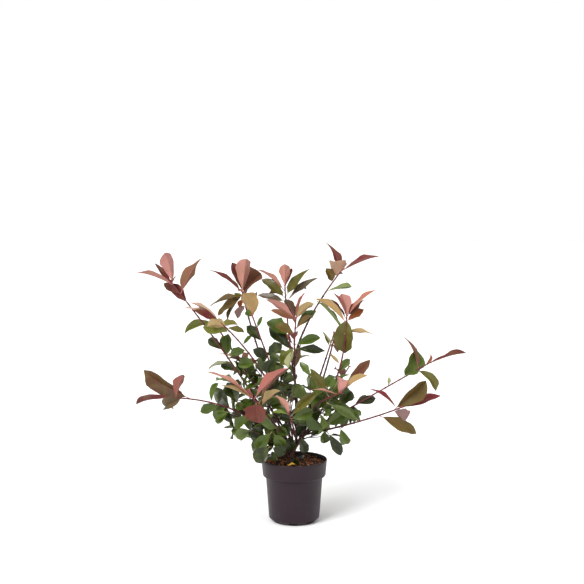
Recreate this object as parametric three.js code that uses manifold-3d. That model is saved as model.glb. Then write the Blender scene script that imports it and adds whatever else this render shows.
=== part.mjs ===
// A young photinia shrub in a round nursery pot: pot, potting soil, a short leaning trunk, long thin
// boughs that fan out of it, a leafy spray at each bough's tip and broad green sprays round its foot.
// Millimetres, +Z up. The origin is the middle of the pot's flat underside, -Y is the front.

import * as THREE from "three";
import { mergeVertices } from "three/addons/utils/BufferGeometryUtils.js";
import Module from "manifold-3d";

const wasm = await Module();
wasm.setup();

// ---- Driving dimensions: pot ----

const RIM_RADIUS = 85;
const BAND_FOOT_RADIUS = 81.5;
const WALL_TOP_RADIUS = 73.5;
const WALL_FOOT_RADIUS = 65.5;
const FOOT_RADIUS = 55;
const POT_HEIGHT = 162;
const BAND_HEIGHT = 42;
const CHAMFER_HEIGHT = 10;
const POT_WALL = 1.6;
const POT_FLOOR = 2.2;
const POT_SEGMENTS = 36;
const NOTCH_COUNT = 8;
const NOTCH_WIDTH = 23;
const NOTCH_HEIGHT = 8.5;
const NOTCH_REACH = 24;
const NOTCH_TURN = 42;
const BAND_SLOPE = 3;
const EDGE_ROUND = 1.5;
const LIP_ROUND = 0.4;
const SOIL_BELOW_RIM = 10;
const SOIL_PLAY = 0.6;

// ---- Driving dimensions: wood ----

const GAP = 0.3;
const MERGE_WITHIN = 0.05;
const TRUNK_FOOT_AT = [-15, 12];
const TRUNK_TOP = [28, 5, 226];
const TRUNK_BOW = [-4, 0, 6];
const TRUNK_FOOT_RADIUS = 6;
const TRUNK_TOP_RADIUS = 5;
const ROOT_FLARE = 0.55;
const ROOT_FLARE_REACH = 0.16;
const BOUGH_RADIUS = 2.8;
const LEAFY_STEM_RADIUS = 2.2;
const STEM_TIP_RADIUS = 1.3;
const TWIG_RADIUS = 1.9;
const LIMB_SIDE = [1, 0.2, 0];
const TRUNK_SIDES = 10;
const TRUNK_STEPS = 9;
const BOUGH_SIDES = 5;
const BOUGH_STEPS = 5;
const STEM_SIDES = 4;
const STEM_STEPS = 5;
const SPRAY_STEM_STEPS = 4;
const TWIG_SIDES = 3;
const TWIG_STEPS = 2;
const LEAST_ENTRY = 0.25;
const LEAST_KEPT = 0.72;

// ---- Driving dimensions: leaves ----

const GOLDEN_ANGLE = 137.5;
const YOUNG_SLIMNESS = 2.9;
const MATURE_SLIMNESS = 1.75;
const LEAF_THICKNESS = 1.2;
const LEAF_THICKNESS_SHARE = 0.014;
const STALK_RADIUS = 0.6;
const WIDEST_AT = 0.52;
const LONG_LEAF = 78;
const SHORT_LEAF = 62;
const PLAIN_ROOT = 0.6;
const FREE_FROM = 0.16;
const SHOULDER_AT = 0.8;
const SHOULDER_WIDTH = 0.7;
const SHOULDER_THICKNESS = 0.8;
const KITE_WIDTH = 0.9;
const TEST_GAP = 0.35;
const YOUNG_BEND = 24;
const MATURE_BEND = 30;
const FOLD = 20;
const FAN_LEAN = 18;
const FAN_STEMWARD = 0.7;
const FAN_FACING = 1.1;
const SPIRAL_STEMWARD = 0.6;
const SPIRAL_UPWARD = 0.7;
const ENTRY = 12;
const ENTRY_MARGIN = 0.01;
const LAST_LEAF_AT = 0.995;
const TURNED_OVER = { back: 6, size: 0.9 };

// A shoot springs from its parent at a share of that one's length and runs to its tip, bowed off the
// straight line by the given offset. Each of its leaves is [distance back from the tip, heading in the
// front view clockwise from upright in degrees, length, face, length over width]. Face 1 leans away and
// shows its upper side to the front, -1 leans forward and shows its underside, and smaller values stand
// more upright. "extra" leaves are added round the tip by the spiral rule.

const SHOOTS = [
  { name: "left_high", parent: "trunk", at: 0.16, tip: [-308, -40, 622], bow: [18, 0, 12], extra: 2,
    leaves: [[2, -15, 88, -1, 2.2], [10, -42, 74, 0.5, 6], [4, -70, 100, -0.6, 4.4], [62, -35, 80, 1, 3],
      [36, 31, 112, -1, 3.4], [62, 118, 32, -0.7, 2.6], [216, -55, 50, 1, 2.3], [234, 3, 60, 1, 1.75],
      [256, -88, 68, 1, 3.4], [274, -85, 42, 1, 1.9]] },
  { name: "left_mid", parent: "trunk", at: 0.36, tip: [-186, -70, 528], bow: [55, 0, 28], extra: 2,
    leaves: [[6, -73, 72, 0.7, 4], [30, -72, 62, -1, 2], [42, -80, 78, 1, 2.6], [22, 108, 50, 1, 3.2],
      [84, 45, 36, 0.6, 3.4], [101, -105, 46, 1, 2], [145, -97, 50, 1, 1.9]] },
  { name: "left_thin", parent: "trunk", at: 0.52, tip: [-205, 40, 508], bow: [-16, 0, 24], extra: 1,
    leaves: [[24, -98, 86, 1, 3.6], [30, 160, 44, -0.8, 2.6], [6, 85, 60, -1, 3]] },
  { name: "rear_left_high", parent: "trunk", at: 0.66, tip: [-135, 60, 590], bow: [-30, 0, 0], extra: 2,
    leaves: [[2, 4, 96, -1, 2.5], [6, -18, 80, 0.8, 4], [2, -55, 110, 0.6, 6], [4, 40, 76, 1, 2],
      [6, -135, 100, 1, 4.6], [10, -156, 92, 0.8, 5.5], [22, -103, 92, 1, 5], [34, -150, 42, -0.6, 2],
      [14, -172, 34, 0.6, 2.2]] },
  { name: "left_inner", parent: "trunk", at: 0.8, tip: [-105, -60, 541], bow: [-5, 0, 0], extra: 1,
    leaves: [[0, -20, 72, -1, 1.75], [8, 58, 62, 0.7, 3], [60, -58, 58, 1, 2.3], [34, 25, 34, 0.7, 3.4],
      [116, 50, 50, 1, 1.9], [120, -60, 48, 1, 1.9]] },
  { name: "centre", parent: "trunk", at: 0.9, tip: [4, -70, 535], bow: [-22, 0, 0], extra: 2,
    leaves: [[10, -50, 98, -1, 3.6], [10, -23, 66, 1, 2.8], [8, 46, 66, -1, 2.4], [6, 26, 84, -0.7, 6],
      [8, -63, 72, 1, 2.8], [28, 51, 74, 1, 2.7], [46, -57, 58, 1, 2.6], [68, 56, 52, 1, 2],
      [70, 76, 72, 1, 3], [80, 98, 84, 1, 4], [76, -145, 64, 1, 2.3], [82, -160, 50, -1, 2.2]] },
  { name: "centre_tall", parent: "centre", at: 0.4, tip: [-24, 30, 606], bow: [-6, 0, 0], extra: 2,
    leaves: [[0, 0, 64, -1, 2.3], [6, 18, 60, 1, 3.6], [10, -52, 95, -0.6, 7], [28, -55, 84, 1, 3],
      [30, 38, 105, 1, 3], [46, 50, 110, 1, 5.5], [58, -68, 86, 0.8, 4], [104, -62, 70, 1, 1.9],
      [165, -46, 84, 1, 2.6]] },
  { name: "right_high", parent: "centre", at: 0.68, tip: [122, 40, 647], bow: [-34, 40, -14], extra: 2,
    leaves: [[2, -24, 84, 1, 3.3], [20, -12, 54, -1, 1.35], [34, -22, 54, 1, 2.4], [4, 67, 112, -0.7, 7],
      [74, 69, 66, 1, 4.4]] },
  { name: "rear_right_high", parent: "trunk", at: 0.7, tip: [107, 150, 467], bow: [0, 20, 0], extra: 4,
    leaves: [[38, -25, 46, 0.8, 4.5]] },
  { name: "right_thin", parent: "trunk", at: 0.86, tip: [106, 70, 472], bow: [0, 10, 0], extra: 0,
    leaves: [[6, 66, 36, 1, 1.8], [40, -40, 34, 0.8, 4]] },
  { name: "right_mid", parent: "trunk", at: 0.95, tip: [133, -30, 538], bow: [54, 0, -22], extra: 1,
    leaves: [[8, -13, 68, -1, 2.5], [4, -31, 72, -0.6, 8], [12, 45, 112, 0.6, 9], [20, 50, 64, 1, 3],
      [10, 44, 70, 1, 3.2], [22, -50, 112, -1, 4.6], [10, -45, 70, 0.6, 7], [12, -174, 82, 1, 1.6],
      [62, -27, 90, 1, 6], [44, 94, 70, -0.6, 6], [126, -53, 54, 1, 4.5], [150, 45, 46, 1, 2.6]] },
  { name: "front_right", parent: "trunk", at: 0.84, tip: [111, -150, 362], bow: [-50, 0, 25], extra: 1,
    leaves: [[4, 0, 52, -1, 1.9], [4, 44, 114, 1, 3.9], [6, 56, 88, -1, 4], [8, -86, 70, -0.8, 6],
      [26, -36, 80, 1, 3.2]] },
  { name: "right_long", parent: "trunk", at: 1, tip: [350, 40, 405], bow: [-10, 0, -4], extra: 2,
    leaves: [[0, 75, 104, 0.6, 5.2], [78, 22, 86, 1, 2.05], [36, -41, 100, -0.8, 7],
      [46, 126, 72, 0.7, 3.4], [10, 20, 30, 0.5, 3], [122, 5, 26, 0.6, 2.6], [216, 77, 56, 1, 2.7],
      [224, 52, 44, 1, 2.8], [250, -60, 50, 1, 2.2]] },
  { name: "right_low", parent: "trunk", at: 0.98, tip: [267, -60, 307], bow: [10, 0, -8], extra: 2,
    leaves: [[4, -62, 84, 1, 5], [16, 48, 112, 1, 3.4], [6, 70, 108, 0.8, 5], [16, 118, 44, -1, 1.4],
      [58, 112, 102, 1, 3.4], [112, -56, 90, 1, 5]] },
  { name: "left_low", parent: "trunk", at: 0.26, tip: [-303, -40, 329], bow: [35, 0, 68], extra: 2,
    leaves: [[38, -60, 148, 1, 3.4], [2, 12, 62, -1, 2.3], [3, -98, 106, 0.8, 5.8],
      [18, -122, 52, 1, 1.9], [118, -110, 60, 1, 2.3], [96, 18, 52, 1, 3.4], [148, -38, 68, 1, 2.2],
      [132, -139, 50, 1, 1.6], [136, 161, 46, 1, 1.6], [165, 60, 46, 1, 1.9]] },
  { name: "front_left", parent: "trunk", at: 0.44, tip: [-101, -170, 354], bow: [-10, -25, 20], extra: 1,
    leaves: [[4, -56, 134, -0.8, 4.8], [16, -60, 108, -0.6, 7], [6, -12, 44, -1, 2.6],
      [8, 44, 112, -1, 3.7], [14, 47, 104, 0.6, 5.5], [26, 50, 64, -0.8, 2.8], [8, 168, 66, 1, 1.35]] },
  { name: "front_low", parent: "trunk", at: 0.62, tip: [-13, -150, 312], bow: [0, -25, 10], extra: 2,
    leaves: [[10, -36, 68, -1, 3.4], [6, 46, 98, 1, 4], [6, -80, 46, -0.8, 3.6], [30, 72, 62, 1, 2.2]] },
  { name: "rear_left", parent: "trunk", at: 0.3, tip: [-150, 200, 395], bow: [0, 20, 20], extra: 12,
    leaves: [] },
  { name: "rear_centre", parent: "trunk", at: 0.56, tip: [0, 225, 440], bow: [0, 30, 10], extra: 12,
    leaves: [] },
  { name: "rear_right", parent: "trunk", at: 0.78, tip: [150, 215, 365], bow: [10, 20, 0], extra: 12,
    leaves: [] },
  { name: "rear_low", parent: "trunk", at: 0.4, tip: [-30, 232, 292], bow: [0, 30, 30], extra: 12,
    leaves: [] },
];

// A green spray springs from the side of the trunk or of a bough and branches inside its own girth.

const SPRAYS = [
  { name: "left_outer", parent: "left_low", at: 0.3, tip: [-185, -15, 285] },
  { name: "left_low", parent: "left_low", at: 0.12, tip: [-120, -50, 240] },
  { name: "left_upper", parent: "left_high", at: 0.27, tip: [-150, 15, 350] },
  { name: "left_top", parent: "left_thin", at: 0.36, tip: [-95, 45, 415] },
  { name: "middle_upper", parent: "left_mid", at: 0.3, tip: [-60, -70, 365] },
  { name: "right_upper", parent: "right_mid", at: 0.25, tip: [85, -50, 355] },
  { name: "right_outer", parent: "right_long", at: 0.17, tip: [140, 12, 298] },
  { name: "right_low", parent: "trunk", at: 0.74, tip: [100, -60, 240] },
  { name: "front_left_low", parent: "trunk", at: 0.22, tip: [-70, -75, 228] },
  { name: "front_low", parent: "trunk", at: 0.5, tip: [0, -95, 245] },
  { name: "front_upper", parent: "trunk", at: 0.58, tip: [45, -95, 315] },
  { name: "rear_left_low", parent: "rear_left", at: 0.16, tip: [-100, 120, 265] },
  { name: "rear_right_low", parent: "rear_right", at: 0.22, tip: [105, 105, 275] },
  { name: "middle_rear", parent: "rear_left_high", at: 0.22, tip: [-15, 80, 345] },
];
const SPRAY_GIRTH = 82;
const SPRAY_LOWEST = 172;
const SPRAY_INTERNODE = 12;
const SPRAY_BARE_SHARE = 0.2;
const SPRAY_LEAST_RISE = 6;
const SPRAY_MOST_RISE = 22;
const SPRAY_CHECKS = 12;
const SPRAY_TWIGS = [{ at: 0.34, share: 0.62 }, { at: 0.52, share: 0.5 }, { at: 0.7, share: 0.4 }];
const TWIG_TURN = 60;
const TWIG_SPREAD = 48;
const TWIG_SAG = 0.06;
const TWIG_BARE_SHARE = 0.3;
const END_LEAF_SPREAD = 12;
const MATURE_SHORTEST = 50;
const MATURE_LONGEST = 74;
const MATURE_LEAST_SPREAD = 46;
const MATURE_MOST_SPREAD = 74;

// The leaves that the spiral rule adds round a shoot's tip.

const EXTRA_START = 3;
const EXTRA_INTERNODE = 13;
const EXTRA_ROOM = 14;
const EXTRA_SHORTEST = 62;
const EXTRA_LONGEST = 88;
const EXTRA_TIP_SPREAD = 34;
const EXTRA_LOW_SPREAD = 66;
const EXTRA_LOW_FROM = 12;
const EXTRA_TURN = 90;

// Degrees, or millimetres for a stem, by which a piece is turned aside when its first place is taken.

const FAN_SWINGS = [0, 8, -8, 16, -16];
const SPIRAL_SWINGS = [0, 25, -25, 50, -50];
const STEM_SWINGS = [0, 20, -20, 40, -40];

const COLOURS = {
  pot: 0x43363b,
  soil: 0x4a3022,
  bark: 0x6b4636,
  bough: 0x6e3b33,
  young: 0xa35a4e,
  green: 0x3f5a34,
};

// ---- Small helpers ----

const radians = THREE.MathUtils.degToRad;
const vector = (x, y, z) => new THREE.Vector3(x, y, z);
const UP = vector(0, 0, 1);
const DEPTH = vector(0, 1, 0);

// A number from 0 to 1 that depends only on a word and on whole numbers.
function chance(word, ...keys) {
  let state = 2166136261;
  const stir = (value) => {
    state = Math.imul(state ^ value, 16777619) >>> 0;
  };
  for (const letter of word) stir(letter.charCodeAt(0));
  for (const key of keys) stir(key + 101);
  state = Math.imul(state ^ (state >>> 15), 2246822519) >>> 0;
  state = Math.imul(state ^ (state >>> 13), 3266489917) >>> 0;
  return ((state ^ (state >>> 16)) >>> 0) / 4294967296;
}

const between = (low, high, share) => low + (high - low) * share;

// The part of a vector that is square to a unit direction, made a unit vector.
function squareTo(direction, wanted) {
  return wanted.clone().addScaledVector(direction, -wanted.dot(direction)).normalize();
}

function bowedRoute(start, tip, bow) {
  const middle = start.clone().add(tip).multiplyScalar(0.5).add(bow);
  return new THREE.QuadraticBezierCurve3(start, middle, tip);
}

// ---- Solids ----

function solidOf(geometry) {
  const bare = geometry.clone();
  bare.deleteAttribute("normal");
  bare.deleteAttribute("uv");
  const merged = mergeVertices(bare, 1e-4);
  const mesh = new wasm.Mesh({
    numProp: 3,
    vertProperties: new Float32Array(merged.attributes.position.array),
    triVerts: new Uint32Array(merged.index.array),
  });
  return new wasm.Manifold(mesh);
}

function geometryOf(solid) {
  const mesh = solid.getMesh();
  const geometry = new THREE.BufferGeometry();
  geometry.setAttribute("position", new THREE.BufferAttribute(new Float32Array(mesh.vertProperties), 3));
  geometry.setIndex(new THREE.BufferAttribute(new Uint32Array(mesh.triVerts), 1));
  geometry.computeVertexNormals();
  return geometry;
}

// The biggest closed body of a solid: loose scraps and sealed hollows are left behind.
function largestBody(solid) {
  const bodies = solid.decompose();
  bodies.sort((one, other) => other.volume() - one.volume());
  return bodies[0];
}

function reshape(geometry, place) {
  const positions = geometry.attributes.position;
  const point = vector(0, 0, 0);
  for (let index = 0; index < positions.count; index += 1) {
    point.fromBufferAttribute(positions, index);
    const moved = place(point);
    positions.setXYZ(index, moved.x, moved.y, moved.z);
  }
  return geometry;
}

// A round limb along a stretch of a route, its radius given by the share of the stretch.
function limbSolid(route, from, to, radiusAt, sides, steps) {
  const cylinder = new THREE.CylinderGeometry(1, 1, 1, sides, steps);
  return solidOf(reshape(cylinder, (point) => {
    const share = point.y + 0.5;
    const along = between(from, to, share);
    const tangent = route.getTangentAt(along);
    const side = squareTo(tangent, vector(...LIMB_SIDE));
    const other = side.clone().cross(tangent);
    const radius = radiusAt(share);
    return route.getPointAt(along)
      .addScaledVector(side, point.x * radius)
      .addScaledVector(other, point.z * radius);
  }));
}

// A leaf: a thin folded blade that tapers from its stalk to its widest station and on to a pointed tip,
// and bends back towards its underside. "grow" swells it all round to test what it would touch.
function leafSolid(leaf, grow) {
  const { root, direction, upper, length, slimness, bend } = leaf;
  const plain = leaf.plain || length < SHORT_LEAF;
  const across = direction.clone().cross(upper).normalize();
  const halfWidth = length / slimness / 2;
  const thickness = Math.max(LEAF_THICKNESS, LEAF_THICKNESS_SHARE * length);
  const turn = radians(bend);
  const lift = Math.sin(radians(FOLD));
  const stations = [
    { at: 1, half: 0, thick: 0 },
    { at: WIDEST_AT, half: halfWidth, thick: thickness },
    { at: 0, half: STALK_RADIUS, thick: STALK_RADIUS * 2 },
    { at: -STALK_RADIUS / length, half: 0, thick: 0 },
  ];
  if (length > LONG_LEAF) {
    const thick = thickness * SHOULDER_THICKNESS;
    stations.splice(1, 0, { at: SHOULDER_AT, half: halfWidth * SHOULDER_WIDTH, thick });
  }
  if (plain) {
    stations.splice(2, 2, { at: -PLAIN_ROOT / length, half: 0, thick: 0 });
  }
  const bands = stations.length - 1;
  const sphere = new THREE.SphereGeometry(1, 4, bands);
  return solidOf(reshape(sphere, (point) => {
    const order = Math.round((Math.acos(THREE.MathUtils.clamp(point.y, -1, 1)) * bands) / Math.PI);
    const station = stations[order];
    const ringRadius = Math.max(Math.sin((order * Math.PI) / bands), 0.1);
    const angle = turn * Math.max(station.at, 0);
    const run = length / turn;
    const middle = root.clone()
      .addScaledVector(direction, station.at > 0 ? run * Math.sin(angle) : station.at * length)
      .addScaledVector(upper, station.at > 0 ? run * (Math.cos(angle) - 1) : 0);
    const ahead = direction.clone().multiplyScalar(Math.cos(angle)).addScaledVector(upper, -Math.sin(angle));
    const above = upper.clone().multiplyScalar(Math.cos(angle)).addScaledVector(direction, Math.sin(angle));
    const edge = Math.round(point.x / ringRadius);
    const face = Math.round(point.z / ringRadius);
    const half = station.half + (station.half > 0 ? grow : 0);
    const thick = station.thick / 2 + (station.half > 0 ? grow : 0);
    const end = station.at === 1 ? grow : 0;
    return middle
      .addScaledVector(ahead, end)
      .addScaledVector(across, edge * half)
      .addScaledVector(above, Math.abs(edge) * station.half * lift + face * thick);
  }));
}

// The flat kite of a leaf from a little way along its stalk, a plain stand-in to see what it crosses.
function bladeGeometry(leaf) {
  const { root, direction, upper, length, slimness } = leaf;
  const across = direction.clone().cross(upper).normalize();
  const halfWidth = length / slimness / 2;
  const kite = new THREE.SphereGeometry(1, 4, 2);
  const run = (length * (1 - FREE_FROM)) / 2;
  const centre = root.clone().addScaledVector(direction, length * FREE_FROM + run);
  return reshape(kite, (point) => centre.clone()
    .addScaledVector(direction, point.y * run)
    .addScaledVector(across, Math.round(point.x) * halfWidth * KITE_WIDTH)
    .addScaledVector(upper, Math.round(point.z)));
}

// ---- Pot and soil ----

const SOIL_TOP = POT_HEIGHT - SOIL_BELOW_RIM;
const BAND_FOOT = POT_HEIGHT - BAND_HEIGHT;
const INNER_BAND_FOOT = BAND_FOOT + BAND_SLOPE;
const INNER_WALL_TOP = BAND_FOOT - LIP_ROUND;
const INNER_WALL_FOOT = CHAMFER_HEIGHT + POT_WALL;

function ring(points) {
  const profile = points.map(([radius, height]) => new THREE.Vector2(radius, height));
  const lathe = new THREE.LatheGeometry(profile, POT_SEGMENTS);
  return solidOf(lathe.rotateX(Math.PI / 2));
}

function potSolid() {
  const outside = [
    [0, 0],
    [FOOT_RADIUS, 0],
    [WALL_FOOT_RADIUS, CHAMFER_HEIGHT],
    [WALL_TOP_RADIUS, BAND_FOOT - BAND_SLOPE],
    [BAND_FOOT_RADIUS - EDGE_ROUND, BAND_FOOT - LIP_ROUND],
    [BAND_FOOT_RADIUS, BAND_FOOT + EDGE_ROUND],
    [RIM_RADIUS, POT_HEIGHT - EDGE_ROUND],
    [RIM_RADIUS - LIP_ROUND, POT_HEIGHT],
  ];
  const inside = [
    [RIM_RADIUS - POT_WALL, POT_HEIGHT],
    [BAND_FOOT_RADIUS - POT_WALL, INNER_BAND_FOOT],
    [WALL_TOP_RADIUS - POT_WALL, INNER_WALL_TOP],
    [WALL_FOOT_RADIUS - POT_WALL, INNER_WALL_FOOT],
    [FOOT_RADIUS, POT_FLOOR],
    [0, POT_FLOOR],
  ];
  let pot = ring([...outside, ...inside]);
  for (let index = 0; index < NOTCH_COUNT; index += 1) {
    const notch = new THREE.BoxGeometry(NOTCH_REACH, NOTCH_WIDTH, NOTCH_HEIGHT * 2);
    notch.translate(FOOT_RADIUS + POT_WALL + NOTCH_REACH / 2, 0, 0);
    notch.rotateZ(radians(NOTCH_TURN - 90 + (index * 360) / NOTCH_COUNT));
    pot = pot.subtract(solidOf(notch));
  }
  return pot;
}

function soilSolid() {
  const play = POT_WALL + GAP + SOIL_PLAY;
  return ring([
    [0, POT_FLOOR + GAP],
    [FOOT_RADIUS - SOIL_PLAY, POT_FLOOR + GAP],
    [WALL_FOOT_RADIUS - play, INNER_WALL_FOOT],
    [WALL_TOP_RADIUS - play, INNER_WALL_TOP],
    [BAND_FOOT_RADIUS - play, INNER_BAND_FOOT],
    [RIM_RADIUS - play, SOIL_TOP],
    [0, SOIL_TOP],
  ]);
}

// ---- Wood ----

const obstacles = [];
const limbs = {};

function bodyOf(name, solid) {
  const box = solid.boundingBox();
  return { name, solid, box };
}

function boxesMeet(one, other) {
  return [0, 1, 2].every((axis) => one.min[axis] <= other.max[axis] && other.min[axis] <= one.max[axis]);
}

function touches(solid, bodies) {
  const box = solid.boundingBox();
  return bodies.some((body) => boxesMeet(box, body.box) && !solid.intersect(body.solid).isEmpty());
}

// Cuts a solid clear of every limb, each swollen by the gap, and keeps the piece that is left.
function cutClear(name, solid) {
  let clear = solid;
  for (const limb of Object.values(limbs)) {
    if (boxesMeet(clear.boundingBox(), limb.grown.boundingBox())) clear = clear.subtract(limb.grown);
  }
  const kept = largestBody(clear);
  if (kept.volume() < LEAST_KEPT * solid.volume()) throw new Error(`${name} is severed by another limb`);
  return kept;
}

function trunkRadius(share) {
  const flare = ROOT_FLARE * Math.exp(-share / ROOT_FLARE_REACH);
  return between(TRUNK_FOOT_RADIUS, TRUNK_TOP_RADIUS, share) * (1 + flare);
}

function addTrunk() {
  const foot = vector(...TRUNK_FOOT_AT, SOIL_TOP + GAP);
  const route = bowedRoute(foot, vector(...TRUNK_TOP), vector(...TRUNK_BOW));
  const wood = (grow) => limbSolid(
    route, 0, 1, (share) => trunkRadius(share) + grow, TRUNK_SIDES, TRUNK_STEPS);
  const ground = new THREE.BoxGeometry(RIM_RADIUS, RIM_RADIUS, SOIL_TOP);
  ground.translate(foot.x, foot.y, foot.z - SOIL_TOP / 2);
  const solid = wood(0).subtract(solidOf(ground));
  limbs.trunk = { route, solid, grown: wood(GAP), radiusAt: trunkRadius };
}

function shootRadius(shoot, share) {
  const split = shoot.entry;
  if (share < split) return between(BOUGH_RADIUS, LEAFY_STEM_RADIUS, share / split);
  return between(LEAFY_STEM_RADIUS, STEM_TIP_RADIUS, (share - split) / (1 - split));
}

function addBough(shoot) {
  const parent = limbs[shoot.parent];
  const start = parent.route.getPointAt(shoot.at);
  const route = bowedRoute(start, vector(...shoot.tip), vector(...shoot.bow));
  const length = route.getLength();
  const furthest = Math.max(shoot.extra * EXTRA_ROOM, ...shoot.leaves.map(([back]) => back));
  shoot.entry = Math.max(1 - (furthest + ENTRY) / length, LEAST_ENTRY);
  shoot.length = length;
  const radiusAt = (share) => shootRadius(shoot, share * shoot.entry);
  const wood = (grow) => limbSolid(
    route, 0, shoot.entry, (share) => radiusAt(share) + grow, BOUGH_SIDES, BOUGH_STEPS);
  const solid = cutClear(shoot.name, wood(0));
  limbs[shoot.name] = { route, solid, grown: wood(GAP) };
}

// ---- Foliage ----

// A leaf of the fan that is seen from the front, by its heading and the face that it turns there.
function fanLeaf(shoot, [back, heading, length, face, slimness]) {
  const route = limbs[shoot.name].route;
  const along = THREE.MathUtils.clamp(1 - back / shoot.length, shoot.entry + ENTRY_MARGIN, LAST_LEAF_AT);
  const turned = radians(heading);
  const lean = radians(FAN_LEAN) * face;
  const chord = vector(Math.sin(turned) * Math.cos(lean), Math.sin(lean), Math.cos(turned) * Math.cos(lean));
  const stemward = squareTo(chord, route.getTangentAt(along)).multiplyScalar(FAN_STEMWARD);
  const upper = squareTo(chord, stemward.addScaledVector(DEPTH, -Math.sign(face) * FAN_FACING));
  const half = radians(YOUNG_BEND / 2);
  return {
    root: route.getPointAt(along),
    direction: chord.clone().multiplyScalar(Math.cos(half)).addScaledVector(upper, Math.sin(half)),
    upper: upper.clone().multiplyScalar(Math.cos(half)).addScaledVector(chord, -Math.sin(half)),
    length,
    slimness,
    bend: YOUNG_BEND,
  };
}

// A leaf of the spiral round a stem, by its turn round the stem and its angle off it, in degrees.
function spiralLeaf(route, along, azimuth, spread, length, slimness, bend, plain) {
  const stem = route.getTangentAt(along);
  const side = DEPTH.clone().cross(stem).normalize();
  const depth = stem.clone().cross(side);
  const turned = radians(azimuth);
  const outward = side.multiplyScalar(Math.cos(turned)).addScaledVector(depth, Math.sin(turned));
  const open = radians(spread);
  const direction = stem.clone().multiplyScalar(Math.cos(open)).addScaledVector(outward, Math.sin(open));
  const skyward = stem.clone().multiplyScalar(SPIRAL_STEMWARD).addScaledVector(UP, SPIRAL_UPWARD);
  const upper = squareTo(direction, skyward);
  return { root: route.getPointAt(along), direction, upper, length, slimness, bend, plain };
}

// Puts the first leaf that fits on a mass: one that touches no limb, no other mass and no other blade.
function placeLeaf(mass, candidates) {
  for (const leaf of candidates) {
    if (touches(leafSolid(leaf, TEST_GAP), others(mass))) continue;
    if (touches(solidOf(bladeGeometry(leaf)), mass.pieces)) continue;
    addPiece(mass, leafSolid(leaf, 0));
    return;
  }
}

function others(mass) {
  return obstacles.filter((body) => body.name !== mass.name);
}

function addPiece(mass, solid) {
  const body = bodyOf(mass.name, solid);
  mass.pieces.push(body);
  obstacles.push(body);
}

function startTipMass(shoot) {
  const { route } = limbs[shoot.name];
  const start = shoot.entry + GAP / shoot.length;
  const radiusAt = (share) => shootRadius(shoot, between(shoot.entry, 1, share));
  const stem = limbSolid(route, start, 1, radiusAt, STEM_SIDES, STEM_STEPS);
  const mass = { name: `foliage_${shoot.name}`, shoot, route, pieces: [] };
  addPiece(mass, cutClear(mass.name, stem));
  return mass;
}

function fillTipMass(mass) {
  const { shoot, route } = mass;
  for (const [back, heading, length, face, slimness] of shoot.leaves) {
    const tries = FAN_SWINGS.map((swing) => fanLeaf(shoot, [back, heading + swing, length, face, slimness]));
    const { back: further, size } = TURNED_OVER;
    tries.push(fanLeaf(shoot, [back + further, heading, length * size, -face, slimness]));
    placeLeaf(mass, tries);
  }
  for (let index = 0; index < shoot.extra; index += 1) {
    const along = 1 - (EXTRA_START + index * EXTRA_INTERNODE) / shoot.length;
    const length = between(EXTRA_SHORTEST, EXTRA_LONGEST, chance(shoot.name, index));
    const spread = between(EXTRA_TIP_SPREAD, EXTRA_LOW_SPREAD, index / EXTRA_LOW_FROM);
    const azimuth = EXTRA_TURN + index * GOLDEN_ANGLE;
    placeLeaf(mass, SPIRAL_SWINGS.map((swing) => spiralLeaf(
      route, along, azimuth + swing, spread, length, YOUNG_SLIMNESS, YOUNG_BEND, true)));
  }
}

// The stem of a green spray and its twigs, each bent or turned aside until it crosses no other piece.
function startSpray(spray) {
  const start = limbs[spray.parent].route.getPointAt(spray.at);
  const tip = vector(...spray.tip);
  const rise = between(SPRAY_LEAST_RISE, SPRAY_MOST_RISE, chance(spray.name));
  const taper = (share) => between(LEAFY_STEM_RADIUS, STEM_TIP_RADIUS, share);
  const mass = { name: `foliage_inner_${spray.name}`, spray, pieces: [], twigs: [] };
  const foliage = obstacles.filter((body) => body.name.startsWith("foliage"));
  for (const swing of STEM_SWINGS) {
    const route = bowedRoute(start, tip, vector(swing, -swing, rise));
    const swollen = limbSolid(route, 0, 1, (share) => taper(share) + GAP, STEM_SIDES, SPRAY_STEM_STEPS);
    if (touches(swollen, foliage)) continue;
    mass.route = route;
    addPiece(mass, cutClear(mass.name, limbSolid(route, 0, 1, taper, STEM_SIDES, SPRAY_STEM_STEPS)));
    break;
  }
  if (!mass.route) throw new Error(`${mass.name} finds no clear way`);
  const length = mass.route.getLength();
  SPRAY_TWIGS.forEach(({ at, share }, index) => {
    const reach = length * share;
    for (const swing of SPIRAL_SWINGS) {
      const azimuth = TWIG_TURN + index * GOLDEN_ANGLE + swing;
      const lead = spiralLeaf(mass.route, at, azimuth, TWIG_SPREAD, reach, 1, 1);
      const end = lead.root.clone().addScaledVector(lead.direction, reach);
      const route = bowedRoute(lead.root, end, vector(0, 0, -reach * TWIG_SAG));
      const swollen = limbSolid(route, 0, 1, () => TWIG_RADIUS + GAP, TWIG_SIDES, TWIG_STEPS);
      if (touches(swollen, others(mass))) continue;
      const radiusAt = (part) => between(TWIG_RADIUS, STEM_TIP_RADIUS, part);
      addPiece(mass, limbSolid(route, 0, 1, radiusAt, TWIG_SIDES, TWIG_STEPS));
      mass.twigs.push(route);
      break;
    }
  });
  return mass;
}

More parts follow.
